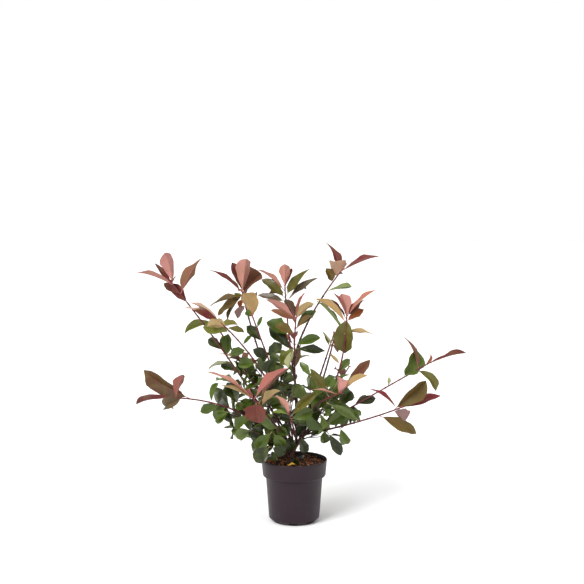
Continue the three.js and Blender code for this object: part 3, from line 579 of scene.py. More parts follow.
def fan_leaf(word, route, entry, plan, swing, seed):
    """A leaf by its heading in the front view. A very slim one is a wider leaf seen from its edge."""
    back, heading, length, face, slimness, tone, style, *curve = plan
    slimness *= FAN_FULLNESS
    along = min(max(1 - back / route.length, entry + 0.01), LAST_LEAF_AT)
    turned = math.radians(heading + swing)
    steady = math.radians(FAN_LEAN) * face
    lean = steady + math.radians(FAN_PLAY) * (seed - 0.5)
    length *= math.cos(steady) / math.cos(lean)
    chord = np.array((math.sin(turned) * math.cos(lean), math.sin(lean), math.cos(turned) * math.cos(lean)))
    stemward = square_to(chord, route.ahead(along)) * FAN_STEMWARD
    upper = square_to(chord, stemward + FRONTWARD * np.sign(face) * FAN_FACING)
    if slimness > TURNED_FROM:
        angle = math.acos(min(TRUE_SLIMNESS / (slimness * TURNED_FULLNESS), 1))
        angle += math.atan(SIGHT_SLOPE) * abs(chord[0])
        choices = [turned_about(chord, upper, side * angle) for side in (1, -1)]
        upper = max(choices, key=lambda choice: choice[2])
        slimness = TRUE_SLIMNESS
    sweep = curve[0] * np.sign(face) if curve else None
    return Leaf(route.at(along), chord, upper, length, slimness, tone, style, word, seed, sweep)


def spiral_frame(route, along, azimuth, spread):
    """Direction and upper side of a leaf or twig by its turn round the stem and its angle off it."""
    stem = route.ahead(along)
    side = unit(np.cross(-FRONTWARD, stem))
    depth = np.cross(stem, side)
    turned = math.radians(azimuth)
    opened = math.radians(spread)
    outward = side * math.cos(turned) + depth * math.sin(turned)
    direction = stem * math.cos(opened) + outward * math.sin(opened)
    upper = square_to(direction, stem * SPIRAL_STEMWARD + UP * SPIRAL_UPWARD)
    return direction, upper


def spiral_leaf(word, route, along, azimuth, spread, length, slimness, bend, tone, style, seed):
    direction, upper = spiral_frame(route, along, azimuth, spread)
    half = math.radians(bend / 2)
    chord = direction * math.cos(half) - upper * math.sin(half)
    above = upper * math.cos(half) + direction * math.sin(half)
    return Leaf(route.at(along), chord, above, length, slimness, tone, style, word, seed)


# ---- The shape of one blade ----

FINE = np.linspace(0, 1, 25)


def blade_frames(leaf, shares):
    """Middle line, across and above at shares of a leaf's length, its tip on the leaf's chord."""
    bend, tip_curl, sweep, twist, _fold, _cup, _wave = STYLES[leaf.style]
    lively = 0.7 + 0.6 * leaf.seed
    side = 1 if leaf.seed * 7 % 1 > 0.5 else -1
    bent = np.radians(bend * lively * FINE + tip_curl * np.clip((FINE - 0.5) * 2, 0, 1) ** 2)[:, None]
    swept = np.radians((sweep * side * lively if leaf.sweep is None else leaf.sweep) * FINE**1.4)[:, None]
    twisted = np.radians(twist * side * (FINE - 0.4))[:, None]
    right, forward, up = np.eye(3)
    first = np.cos(swept) * forward + np.sin(swept) * right
    across = np.cos(swept) * right - np.sin(swept) * forward
    ahead = np.cos(bent) * first - np.sin(bent) * up
    above = np.cos(bent) * up + np.sin(bent) * first
    above, across = (np.cos(twisted) * above + np.sin(twisted) * across,
                     np.cos(twisted) * across - np.sin(twisted) * above)
    steps = (ahead[1:] + ahead[:-1]) / 2 * FINE[1]
    line = np.concatenate([np.zeros((1, 3)), np.cumsum(steps, axis=0)])
    reach = np.linalg.norm(line[-1])
    own_chord = line[-1] / reach
    own_upper = square_to(own_chord, up)
    own = np.stack([own_chord, np.cross(own_chord, own_upper), own_upper])
    wanted = np.stack([leaf.chord, np.cross(leaf.chord, leaf.upper), leaf.upper])
    turn = own.T @ wanted
    read = [np.stack([np.interp(shares, FINE, part[:, axis]) for axis in range(3)], -1)
            for part in (line, across, above)]
    scale = leaf.length * CHORD_SHARE / reach
    return read[0] @ turn * scale + leaf.root, unit(read[1] @ turn), unit(read[2] @ turn), scale


def outline(rings, leaf):
    """Half width of a blade as a share of its widest, from its wedge of a foot to its drawn-out tip."""
    kind = "wide" if leaf.slimness < WIDE_UNDER else ("slim" if leaf.slimness < LANCE_FROM else "lance")
    return np.interp(rings, OUTLINE_SHARES, OUTLINES.get(leaf.style, OUTLINES[kind]))


def blade_grid(leaf, rings, sides):
    """The middle surface of a blade, ring by ring, and the way up from it."""
    _bend, _curl, _sweep, _twist, fold, cup, wave = STYLES[leaf.style]
    rings = np.asarray(rings)
    sides = np.asarray(sides)
    line, across, above, _scale = blade_frames(leaf, PETIOLE_SHARE + (1 - PETIOLE_SHARE) * rings)
    half = (leaf.length / leaf.slimness / 2 * outline(rings, leaf))[:, None]
    play = np.sin(rings[:, None] * MARGIN_WAVES + leaf.seed * 60 + np.sign(sides) * 2.1)
    half = half * (1 + MARGIN_PLAY * play)
    tilt = math.radians(fold * (0.7 + 0.6 * (leaf.seed * 13 % 1)))
    ripple = np.sin(rings[:, None] * RIPPLES + leaf.seed * 40 + np.sign(sides) * 1.3)
    out = half * sides
    lift = half * (np.abs(sides) * math.tan(tilt) + cup * sides**2 + wave * ripple * sides**2)
    return line[:, None] + across[:, None] * out[..., None] + above[:, None] * lift[..., None], above


def crossing_mesh(leaf):
    """A coarse blade to test for crossings, and its middle."""
    grid, _above = blade_grid(leaf, TEST_RINGS, TEST_SIDES)
    faces = [(row * 3 + col, row * 3 + col + 1, row * 3 + col + 4, row * 3 + col + 3)
             for row in range(len(TEST_RINGS) - 1) for col in range(2)]
    points = grid.reshape(-1, 3)
    return BVHTree.FromPolygons(points.tolist(), faces), points.mean(axis=0)


class Crown:
    """All stems and leaves of the plant, grown by the source's rule and finer."""

    def __init__(self, settings):
        self.settings = settings
        self.routes = {"trunk": Route(TRUNK_FOOT, TRUNK_TOP, TRUNK_BOW)}
        self.entries = {}
        self.stems = []
        self.leaves = []
        self.buds = []
        self.trees = []
        self.centres = np.zeros((0, 3))
        self.cover = []
        for shoot in SHOOTS:
            self.grow_bough(*shoot)
        self.spray_routes = {}
        for name, parent, at, tip, _tone in SPRAYS:
            rise = between(SPRAY_RISES, chance(name))
            self.spray_routes["inner_" + name] = Route(self.routes[parent].at(at), tip, (0, 0, rise))
        for name, *_place, leaves in SHOOTS:
            self.show(name, "foliage_" + name, self.routes[name], self.entries[name], leaves)
        for number, sprig in enumerate(SPRIGS):
            self.grow_sprig(f"sprig{number}", *sprig)
        self.listed = len(self.cover)
        for name, *_place, tone in SPRAYS:
            self.grow_spray(name, tone)
        for name, *_place, extra, leaves in SHOOTS:
            self.fill_shoot(name, extra, leaves)

    def grow_bough(self, name, parent, at, tip, bow, extra, leaves):
        route = Route(self.routes[parent].at(at), tip, bow)
        furthest = max([extra * EXTRA_ROOM] + [leaf[0] for leaf in leaves])
        self.routes[name] = route
        self.entries[name] = max(1 - (furthest + ENTRY) / route.length, LEAST_ENTRY)

    def crosses(self, leaf):
        """Whether a leaf cuts through one that is already there."""
        tree, centre = crossing_mesh(leaf)
        if len(self.centres):
            near = np.linalg.norm(self.centres - centre, axis=1) < TEST_WITHIN
            return any(tree.overlap(self.trees[index]) for index in np.nonzero(near)[0])
        return False

    def keep(self, leaf):
        """Adds a leaf, and notes where it lies in the front view and how wide it is seen there."""
        tree, centre = crossing_mesh(leaf)
        self.trees.append(tree)
        self.centres = np.vstack([self.centres, centre])
        foot, side = seen(np.array([leaf.chord, np.cross(leaf.upper, leaf.chord)]))
        seen_width = abs(foot[0] * side[1] - foot[1] * side[0]) / max(np.linalg.norm(foot), LEAST_SEEN)
        half = leaf.length / leaf.slimness / 2 * seen_width
        self.cover.append((leaf.root, leaf.root + leaf.chord * leaf.length, half))
        self.leaves.append(leaf)

    def keep_first(self, choices):
        """Adds the first choice that is in nobody's way, and says whether there is one."""
        clear = next((leaf for leaf in choices if not self.spoils(leaf) and not self.crosses(leaf)), None)
        if clear is not None:
            self.keep(clear)
        return clear is not None

    def show(self, word, mass, route, entry, leaves):
        """Keeps every listed leaf, turned a little aside where that clears the leaves before it."""
        for index, plan in enumerate(leaves):
            seed = chance(word, index, 7)
            choices = [fan_leaf(mass, route, entry, plan, swing, seed) for swing in FAN_SWINGS]
            leaf = next((choice for choice in choices if not self.crosses(choice)), choices[0])
            self.keep(leaf)

    def lies_on(self, cover, spots, margin):
        """For each leaf of a cover: which spots of the front view lie on it, and how deep it is there."""
        for foot, end, half in cover:
            low = seen(foot)
            way = seen(end) - low
            share = np.clip((spots - low) @ way / (way @ way), 0, 1)
            gaps = np.linalg.norm(spots - low - share[:, None] * way, axis=1)
            outline = half * np.sqrt(4 * share * (1 - share))
            yield gaps < outline + margin, foot[1] + (end[1] - foot[1]) * share

    def spoils(self, leaf):
        """Whether a leaf would fill an open spot of the front view or stand before a listed leaf."""
        places = leaf.root + np.outer(COVER_MARKS, leaf.chord) * leaf.length
        spots = seen(places)
        for across, height, radius in OPEN_SPOTS:
            if np.linalg.norm(spots - (across, height), axis=1).min() < radius:
                return True
        listed = self.lies_on(self.cover[:self.listed], spots, ROOM_ROUND_SHOWN)
        return any(np.any(near & (places[:, 1] < depths)) for near, depths in listed)

    def hidden(self, leaf, margin):
        """Whether other leaves, grown wider by a margin, stand before all marks of a leaf at the front."""
        places = blade_grid(leaf, COVER_MARKS, COVER_SIDES)[0].reshape(-1, 3)
        covers = self.lies_on(self.cover, seen(places), margin)
        return np.any([near & (places[:, 1] >= depths) for near, depths in covers], axis=0).all()

    def grow_sprig(self, word, mass, parent, at, tip, leaves):
        parents = {**self.routes, **self.spray_routes}
        route = Route(parents[parent].at(at), tip, (0, 0, SPRIG_RISE))
        mass = "foliage_inner_" + mass
        self.stems.append(self.stretch(route, 0, 1, (TWIG_RADIUS, SPRIG_TIP_RADIUS), mass))
        self.buds.append((route.at(1.0), route.ahead(1.0), *SPRIG_BUD))
        self.show(word, mass, route, 0, leaves)

    def fill_shoot(self, name, extra, leaves):
        """Adds leaves by the spiral rule where they hide behind others, and two leaflets at the tip."""
        route = self.routes[name]
        mass = "foliage_" + name
        for index in range(extra):
            along = 1 - (EXTRA_START + index * EXTRA_INTERNODE) / route.length
            length = between(EXTRA_SIZES, chance(name, index))
            spread = BACK_SPREAD if leaves else between(EXTRA_SPREADS, index / 12)
            azimuth = 90 + (BACK_TURNS[index % 4] if leaves else index * GOLDEN_ANGLE)
            seed = chance(name, index, 3)
            tone = YOUNG_MIX[min(index + int(seed * 3) + (3 if leaves else 0), len(YOUNG_MIX) - 1)]
            style = YOUNG_STYLES[int(chance(name, index, 5) * len(YOUNG_STYLES))]
            choices = [spiral_leaf(
                mass, route, along, azimuth + swing, spread, length, YOUNG_SLIMNESS, CAD_BEND, tone, style,
                seed) for swing in SPIRAL_SWINGS]
            # A bough with hardly a listed leaf would be bare from behind, so its leaves get some room.
            for margin in ((0,) if len(leaves) > 1 else (0, ROOM_BEHIND)):
                if self.keep_first([leaf for leaf in choices if self.hidden(leaf, margin)]):
                    break
        for index in range(2):
            seed = chance(name, index, 9)
            azimuth = LEAFLET_TURN + index * GOLDEN_ANGLE
            self.keep(spiral_leaf(
                mass, route, LEAFLET_AT, azimuth, between(LEAFLET_SPREADS, seed),
                between(LEAFLET_SIZES, seed), LEAFLET_SLIMNESS, CAD_BEND,
                "red" if seed > LEAFLET_RED_FROM else "rose", "folded", seed))
        self.buds.append((route.at(1.0), route.ahead(1.0), *SHOOT_BUD))

    def grow_spray(self, name, tone):
        """Grows one green spray: a stem, the twigs off it, and the leaves along them all."""
        mass = "foliage_inner_" + name
        route = self.spray_routes["inner_" + name]
        rows = [(route, SPRAY_BARE_SHARE, LEAFY_STEM_RADIUS)]
        for index, (along, share) in enumerate(SPRAY_TWIGS):
            reach = route.length * share
            azimuth = TWIG_TURN + index * GOLDEN_ANGLE
            direction, _upper = spiral_frame(route, along, azimuth, TWIG_SPREAD)
            root = route.at(along)
            twig = Route(root, root + direction * reach, (0, 0, -reach * TWIG_SAG))
            rows.append((twig, TWIG_BARE_SHARE, TWIG_RADIUS))
        stem_points = route.at(np.linspace(0, 1, 12))
        for row, (line, bare, radius) in enumerate(rows):
            end = self.leaf_row(name, mass, line, row, bare, tone, stem_points)
            if row == 0 and any(parent == "inner_" + name for _mass, parent, *_rest in SPRIGS):
                end = max(end, LEAST_SPRAY_STEM)
            if end:
                self.stems.append(self.stretch(line, 0, end, (radius, TWIG_TIP_RADIUS), mass))
                self.buds.append((line.at(end), line.ahead(end), *SPRAY_BUD))

    def leaf_row(self, name, mass, line, row, bare, tone, stem_points):
        """Sets leaves along one stem of a spray, and says how far along it the last one stands."""
        end = 0
        sizes = (self.settings.shortest_grown / MM, self.settings.longest_grown / MM)
        for index in range(int(line.length * (1 - bare) / SPRAY_INTERNODE)):
            along = 1 - (EXTRA_START + index * SPRAY_INTERNODE) / line.length
            size = between(sizes, chance(name, row, index))
            spread = END_LEAF_SPREAD if index == 0 else between(MATURE_SPREADS, chance(name, row, index, 1))
            azimuth = chance(name, row) * 360 + index * GOLDEN_ANGLE
            seed = chance(name, row, index, 2)
            own_tone = tone if seed < SPRAY_TONE_SHARE else GREEN_MIX[int(seed * 997) % len(GREEN_MIX)]
            choices = [spiral_leaf(
                mass, line, along, azimuth + swing, spread, size, MATURE_SLIMNESS, MATURE_BEND, own_tone,
                "broad", seed) for swing in SPIRAL_SWINGS]
            tips = [leaf.root + leaf.chord * leaf.length for leaf in choices]
            inside = [leaf for leaf, tip in zip(choices, tips)
                      if np.linalg.norm(stem_points - tip, axis=1).min() < SPRAY_GIRTH
                      and tip[2] > SPRAY_LOWEST]
            if self.keep_first(inside):
                end = max(end, along)
        return end

    def stretch(self, route, start, end, radii, mass):
        """A stretch of stem with a swollen ring at each leaf scar. Radii are two ends or a function."""
        first = route.length * start
        last = route.length * end
        scars = np.arange(last - SCARS_FROM_END, first + SCARS_FROM_START, -NODE_SPACING)
        marks = [np.arange(first, last, RING_SPACING), [last]]
        marks += [scars + step * NODE_REACH for step in NODE_MARKS]
        runs = np.unique(np.clip(np.concatenate(marks), first, last).round(2))
        near = np.abs(runs[:, None] - np.append(scars, -FAR_FROM_SCARS)).min(axis=1)
        shares = (runs - first) / (last - first)
        plain = np.array([radii(share) if callable(radii) else between(radii, share) for share in shares])
        return Stem(route.at(runs / route.length), plain * (
            1 + NODE_SWELL * np.exp(-((near / NODE_REACH) ** 2))), mass)


# ---- Meshes from stems and leaves ----


def new_object(name, mesh):
    piece = bpy.data.objects.new(name, mesh)
    bpy.context.scene.collection.objects.link(piece)
    return piece


def only(piece):
    """Selects one piece alone, for the operators that act on all that is selected."""
    bpy.ops.object.select_all(action="DESELECT")
    piece.select_set(True)
    bpy.context.view_layer.objects.active = piece


def edit(piece):
    """Opens a piece in edit mode with all of it selected."""
    only(piece)
    bpy.ops.object.mode_set(mode="EDIT")
    bpy.ops.mesh.select_all(action="SELECT")


def close_edit():
    """Turns all faces outwards and leaves edit mode."""
    bpy.ops.mesh.select_all(action="SELECT")
    bpy.ops.mesh.normals_make_consistent(inside=False)
    bpy.ops.object.mode_set(mode="OBJECT")


def smooth(piece, degrees):
    only(piece)
    bpy.ops.object.shade_smooth_by_angle(angle=math.radians(degrees))


def apply_modifier(piece, kind, name, **settings):
    modifier = piece.modifiers.new(name, kind)
    for key, value in settings.items():
        setattr(modifier, key, value)
    only(piece)
    bpy.ops.object.modifier_apply(modifier=modifier.name)


def roughen(piece, grain, depth, name):
    """Real relief in the mesh: a cloud pattern of the given grain lifts and sinks the surface."""
    pattern = bpy.data.textures.new(name, "CLOUDS")
    pattern.noise_scale = grain
    apply_modifier(piece, "DISPLACE", name, texture=pattern, texture_coords="OBJECT", strength=depth,
                   mid_level=0.5)


def round_stock(name, stems, resolution):
    """Round wood along many routes: one curve with a bevel, made a mesh with its ends closed."""
    curve = bpy.data.curves.new(name, "CURVE")
    curve.dimensions = "3D"
    curve.fill_mode = "FULL"
    curve.bevel_depth = 1.0
    curve.bevel_resolution = resolution
    curve.use_fill_caps = True
    for stem in stems:
        line = curve.splines.new("POLY")
        line.points.add(len(stem.points) - 1)
        places = np.concatenate([stem.points * MM, np.ones((len(stem.points), 1))], axis=1)
        line.points.foreach_set("co", places.ravel())
        line.points.foreach_set("radius", stem.radii * MM)
    piece = new_object(name, curve)
    only(piece)
    bpy.ops.object.convert(target="MESH")
    piece = bpy.context.view_layer.objects.active
    edit(piece)
    bpy.ops.mesh.remove_doubles(threshold=0.01 * MM)
    close_edit()
    return piece


def joined(name, parts, faces):
    """One piece of many parts that share one net of faces, each part over points of its own."""
    size = len(parts[0])
    mesh = bpy.data.meshes.new(name)
    mesh.from_pydata(np.concatenate(parts).tolist(), [], [
        tuple(corner + order * size for corner in face) for order in range(len(parts)) for face in faces])
    return new_object(name, mesh)


def ring_faces(rings, around):
    """Quads of a closed skin over rings of points, and the fans that close its two ends."""
    quads = []
    fans = []
    for ring in range(rings - 1):
        for step in range(around):
            here = ring * around + step
            beside = ring * around + (step + 1) % around
            quads.append((here, here + around, beside + around, beside))
    foot = rings * around
    last = (rings - 1) * around
    for step in range(around):
        beside = (step + 1) % around
        fans.append((foot, step, beside))
        fans.append((foot + 1, last + beside, last + step))
    return quads, fans


def blade_mesh(leaf, rings, thickness):
    """A blade as a thin closed lens: upper side from right to left, then the under side back."""
    grid, above = blade_grid(leaf, rings, SIDES)
    ends, _above = blade_grid(leaf, (0.0, 1.0), (0.0,))
    sides = np.array(SIDES)
    swell = above[:, None] * (thickness / 2 * np.sqrt(1 - sides**2 * 0.999))[:, None]
    over = grid + swell
    under = (grid - swell)[:, -2:0:-1]
    ring = np.concatenate([over, under], axis=1)
    across = np.concatenate([sides, sides[-2:0:-1]])
    along = leaf.length * (1 - PETIOLE_SHARE)
    marks = np.zeros(ring.shape)
    marks[..., 0] = across
    marks[..., 1] = np.asarray(rings)[:, None] * along
    marks[..., 2] = leaf.seed
    points = np.concatenate([ring.reshape(-1, 3), ends[0], ends[1]])
    end_marks = np.array([(0, 0, leaf.seed), (0, along, leaf.seed)])
    return points, np.concatenate([marks.reshape(-1, 3), end_marks])


def blades(name, leaves, rings, thickness):
    """Many leaves of one tone joined as one piece, upper sides in the first look, undersides in the next."""
    around = 2 * len(SIDES) - 2
    quads, fans = ring_faces(len(rings), around)
    upper_steps = len(SIDES) - 1
    looks = [0 if face[0] % around < upper_steps else 1 for face in quads]
    looks += [0 if index // 2 < upper_steps else 1 for index in range(len(fans))]
    # Both sides of a blade are split along the same diagonals, so that neither comes through the other.
    quads = [face[1:] + face[:1] if look else face for face, look in zip(quads, looks)]
    parts, marks = zip(*(blade_mesh(leaf, rings, thickness) for leaf in leaves))
    piece = joined(name, [part * MM for part in parts], quads + fans)
    piece.data.polygons.foreach_set("material_index", looks * len(leaves))
    mark = piece.data.attributes.new("blade", "FLOAT_VECTOR", "POINT")
    mark.data.foreach_set("vector", np.concatenate(marks).astype(np.float32).ravel())
    return piece


def rib(leaf, steps):
    """The stalk of a leaf and the midrib that it runs on into, thinning towards the tip."""
    stalk, end = RIB_SHARES[:2], RIB_SHARES[-1]
    shares = np.concatenate([stalk, PETIOLE_SHARE + (end - PETIOLE_SHARE) * np.linspace(0, 1, steps)])
    line, _across, _above, _scale = blade_frames(leaf, shares)
    stout = 0.5 + leaf.length / 160
    radii = stout * np.interp(shares, RIB_SHARES, RIB_RADII)
    return Stem(line, radii, leaf.mass)


def bud_mesh(root, ahead, length, radius):
    """A small pointed bud of overlapping scales: rings that swell and draw in."""
    side = square_to(ahead, np.array((0.9, 0.3, 0.1)))
    other = np.cross(ahead, side)
    rings = []
    for along, swell in BUD_RINGS:
        for step in range(BUD_SIDES):
            angle = math.tau * step / BUD_SIDES + along
            out = side * math.cos(angle) + other * math.sin(angle)
            rings.append(root + ahead * length * along + out * radius * swell)
    rings.append(root - ahead * length * 0.12)
    rings.append(root + ahead * length)
    return np.array(rings)


def bud_cluster(name, buds):
    quads, fans = ring_faces(len(BUD_RINGS), BUD_SIDES)
    piece = joined(name, [bud_mesh(*bud) * MM for bud in buds], quads + fans)
    edit(piece)
    close_edit()
    return piece


# ---- Materials ----


def add(tree, kind, output, settings):
    """Adds a node with its settings, linked where a value is a socket, and gives one of its outputs."""
    node = tree.nodes.new(kind)
    for name, value in settings.items():
        if isinstance(name, str) and hasattr(node, name):
            setattr(node, name, value)
        elif isinstance(value, bpy.types.NodeSocket):
            tree.links.new(value, node.inputs[name])
        else:
            socket = node.inputs[name]
            socket.default_value = (*value, 1) if socket.type == "RGBA" else value
    return node.outputs[output]


def start_material(name, settings):
    """A material with its shader set, and the place on the object that its patterns go by."""
    material = bpy.data.materials.new(name)
    material.use_nodes = True
    tree = material.node_tree
    shader = tree.nodes["Principled BSDF"]
    for key, value in settings.items():
        shader.inputs[key].default_value = value
    return material, tree, add(tree, "ShaderNodeTexCoord", "Object", {})


def finish_material(tree, colour, height, strength, depth, invert=False):
    """Gives the shader its colour and its fine relief."""
    shader = tree.nodes["Principled BSDF"]
    tree.links.new(colour, shader.inputs["Base Color"])
    relief = add(tree, "ShaderNodeBump", "Normal", {
        "invert": invert, "Strength": strength, "Distance": depth, "Height": height})
    tree.links.new(relief, shader.inputs["Normal"])


def laid(tree, base, value, limits, most, other):
    """A second colour laid over a base: none where a value is at the first limit, most of it at the last."""
    share = add(tree, "ShaderNodeMapRange", "Result", {
        "Value": value, "From Min": limits[0], "From Max": limits[1], "To Max": most})
    return add(tree, "ShaderNodeMix", 2, {"data_type": "RGBA", 0: share, 6: base, 7: other})


def shade(colour, factor):
    return tuple(min(part * factor, 1.0) for part in colour)


def blend(one, other, share):
    return tuple(between(parts, share) for parts in zip(one, other))


# A leaf's skin is a waxy film over a net of veins: side veins every few millimetres lift the blade a
# little and read paler, and the film gives a soft broad sheen, brighter on a grown leaf.
def leaf_skin(name, colour, under, grown, vein_spacing):
    roughness = 0.55 if under else (0.42 if grown else 0.5)
    material, tree, place = start_material(
        name, {"Roughness": roughness, "IOR": 1.45, "Specular IOR Level": 0.24 if grown else 0.18,
               "Coat Weight": 0.3 if grown and not under else 0.0, "Coat Roughness": 0.2})
    blade = add(tree, "ShaderNodeAttribute", "Vector", {"attribute_name": "blade"})
    side = add(tree, "ShaderNodeMath", 0, {"operation": "ABSOLUTE", 0: add(
        tree, "ShaderNodeSeparateXYZ", "X", {"Vector": blade})})
    along = add(tree, "ShaderNodeSeparateXYZ", "Y", {"Vector": blade})
    seed = add(tree, "ShaderNodeSeparateXYZ", "Z", {"Vector": blade})
    slant = add(tree, "ShaderNodeMath", 0, {
        "operation": "MULTIPLY_ADD", 0: side, 1: -VEIN_SLANT * vein_spacing, 2: along})
    row = add(tree, "ShaderNodeMath", 0, {"operation": "PINGPONG", 0: slant, 1: vein_spacing / 2})
    vein = add(tree, "ShaderNodeMapRange", "Result", {
        "Value": row, "From Min": 0.16 * vein_spacing, "From Max": 0.02 * vein_spacing})
    mottle = add(tree, "ShaderNodeTexNoise", "Fac", {"Scale": 1 / (7 * MM), "Detail": 3.0, "Vector": place})
    patch = add(tree, "ShaderNodeTexNoise", "Fac", {"Scale": 1 / (26 * MM), "Detail": 1.5, "Vector": place})
    veined = laid(tree, colour, vein, (0, 1), 0.3, shade(colour, 1.45))
    tinted = laid(tree, veined, mottle, (0.35, 0.75), 0.35, shade(colour, 0.72))
    turning = blend(colour, linear("7f8a3e" if grown else "6a6432"), 0.5)
    patched = laid(tree, tinted, patch, (0.48, 0.66), 0.25 if grown else 0.35, turning)
    lively = add(tree, "ShaderNodeMapRange", "Result", {"To Min": 0.88, "To Max": 1.24, "Value": seed})
    toned = add(tree, "ShaderNodeHueSaturation", "Color", {"Color": patched, "Value": lively})
    finish_material(tree, toned, vein, 0.5, 0.25 * MM, not under)
    return material


# Young bark is a thin corky skin with long fine furrows and small pale breathing pores. The furrows run
# with the limb and the pores are a millimetre or so, so both read as a dry matt grain.
def bark_skin(name, colour, furrow, pore, roughness):
    material, tree, place = start_material(name, {"Roughness": roughness, "IOR": 1.5})
    grain = add(tree, "ShaderNodeTexNoise", "Fac", {
        "Scale": 1 / (4 * MM), "Detail": 6.0, "Roughness": 0.65, "Vector": place})
    patch = add(tree, "ShaderNodeTexNoise", "Fac", {"Scale": 1 / (22 * MM), "Detail": 2.0, "Vector": place})
    spots = add(tree, "ShaderNodeTexVoronoi", "Distance", {"Scale": 1 / (3.2 * MM), "Vector": place})
    base = laid(tree, furrow, grain, (0.35, 0.7), 1.0, colour)
    aged = laid(tree, base, patch, (0.4, 0.7), 0.45, shade(colour, 1.5))
    dotted = laid(tree, aged, spots, (0.22, 0.1), 0.6, pore)
    finish_material(tree, dotted, grain, 0.6, 0.4 * MM)
    return material


# Injection-moulded polypropylene, satin from a fine spark-eroded mould, with pale splashes of dried
# potting mix low on the wall: a faint even grain and a few light flecks.
def pot_plastic(colour):
    material, tree, place = start_material(
        "moulded_polypropylene", {"Roughness": 0.45, "IOR": 1.49, "Specular IOR Level": 0.25})
    height = add(tree, "ShaderNodeSeparateXYZ", "Z", {"Vector": place})
    cloud = add(tree, "ShaderNodeTexNoise", "Fac", {"Scale": 1 / (45 * MM), "Detail": 4.0, "Vector": place})
    grain = add(tree, "ShaderNodeTexNoise", "Fac", {"Scale": 1 / (0.9 * MM), "Detail": 2.0, "Vector": place})
    flecks = add(tree, "ShaderNodeTexVoronoi", "Distance", {"Scale": 1 / (5.5 * MM), "Vector": place})
    dust = add(tree, "ShaderNodeTexNoise", "Fac", {"Scale": 1 / (16 * MM), "Detail": 3.0, "Vector": place})
    tone = laid(tree, shade(colour, 0.9), cloud, (0.3, 0.7), 1.0, shade(colour, 1.12))
    splash = 1.0
    for value, none, full in ((height, 125 * MM, 20 * MM), (dust, 0.5, 0.62), (flecks, 0.13, 0.07)):
        share = add(tree, "ShaderNodeMapRange", "Result", {
            "Value": value, "From Min": none, "From Max": full})
        splash = add(tree, "ShaderNodeMath", 0, {"operation": "MULTIPLY", 0: splash, 1: share})
    marked = laid(tree, tone, splash, (0, 1), 1.0, linear("8c7466"))
    finish_material(tree, marked, grain, 0.25, 0.15 * MM)
    return material


# Composted bark: torn brown fibre, darker where it is damp, dull all over.
def bark_mulch(name, colour, dark):
    material, tree, place = start_material(name, {"Roughness": 0.9})
    fibre = add(tree, "ShaderNodeTexNoise", "Fac", {
        "Scale": 1 / (2.5 * MM), "Detail": 6.0, "Distortion": 1.2, "Vector": place})
    damp = add(tree, "ShaderNodeTexNoise", "Fac", {"Scale": 1 / (14 * MM), "Detail": 2.0, "Vector": place})
    torn = laid(tree, dark, fibre, (0.35, 0.65), 1.0, colour)
    wet = laid(tree, torn, damp, (0.45, 0.7), 0.5, shade(dark, 0.8))
    finish_material(tree, wet, fibre, 0.8, 0.6 * MM)
    return material


def finish_piece(piece, materials, nodes):
    for material in materials:
        piece.data.materials.append(material)
    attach(piece, "root")
    if nodes:
        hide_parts(*sorted(set(nodes)))


# ---- Sizes and colours a user may change ----


def length_value(name, description, millimetres):
    return FloatProperty(name=name, description=description, default=millimetres * MM, min=0.0,
                         unit="LENGTH", subtype="DISTANCE")


def colour_value(name, description, code):
    return FloatVectorProperty(name=name, description=description, default=linear(code), min=0.0, max=1.0,
                               size=3, subtype="COLOR")


class PotSettings(bpy.types.PropertyGroup):
    """Sizes of the pot and the soil in it."""

    rim_radius: length_value("Rim radius", "Outer radius of the rim", 85)
    band_foot_radius: length_value("Band foot radius", "Outer radius at the foot of the rim band", 81.5)
    wall_top_radius: length_value("Wall top radius", "Outer radius of the wall under the band", 73.5)
    wall_foot_radius: length_value("Wall foot radius", "Outer radius above the foot chamfer", 65.5)
    foot_radius: length_value("Foot radius", "Radius of the flat underside", 55)
    height: length_value("Height", "Height of the pot", 162)
    band_height: length_value("Band height", "Height of the rim band", 42)
    chamfer_height: length_value("Chamfer height", "Height of the sloped foot edge", 10)
    wall: length_value("Wall", "Thickness of the moulded wall", 1.6)
    floor: length_value("Floor", "Thickness of the pot's floor", 2.2)
    notch_width: length_value("Notch width", "Width of a drainage notch", 23)
    notch_height: length_value("Notch height", "Height of a drainage notch", 8.5)
    notch_count: IntProperty(name="Notches", description="Drainage notches round the foot", default=8, min=3)
    soil_below_rim: length_value("Soil below rim", "How far the soil lies under the rim", 10)
    chip_length: length_value("Chip length", "Longest bark chip on the soil", 15)
    chip_count: IntProperty(name="Chips", description="Bark chips lying on the soil", default=460, min=10)
    colour: colour_value("Pot", "Colour of the moulded plastic", "24171e")
    soil_colour: colour_value("Soil", "Colour of the damp potting mix", "2c1a13")


class WoodSettings(bpy.types.PropertyGroup):
    """Sizes and colours of the trunk, boughs and stems."""

    trunk_foot_radius: length_value("Trunk foot", "Radius of the trunk above its flare", 5)
    trunk_top_radius: length_value("Trunk top", "Radius of the trunk at its top", 4.2)
    bough_radius: length_value("Bough", "Radius of a bough where it leaves the trunk", 2.8)
    relief: length_value("Bark relief", "Depth of the furrows in the bark", 0.7)
    trunk_colour: colour_value("Trunk bark", "Colour of the oldest bark", "6b4a38")
    old_colour: colour_value("Old bough bark", "Colour of the boughs near the trunk", "42231f")
    red_colour: colour_value("Red bark", "Colour of the boughs further out", "4a1618")
    young_colour: colour_value("Leafy stem", "Colour of the newest stems", "66181e")
    stalk_colour: colour_value("Leaf stalk", "Colour of stalks and midribs of new leaves", "a5605a")
    grown_stalk_colour: colour_value("Grown stalk", "Colour of stalks and midribs of grown leaves", "8f8a55")
    bud_colour: colour_value("Bud", "Colour of the buds", "8f3038")


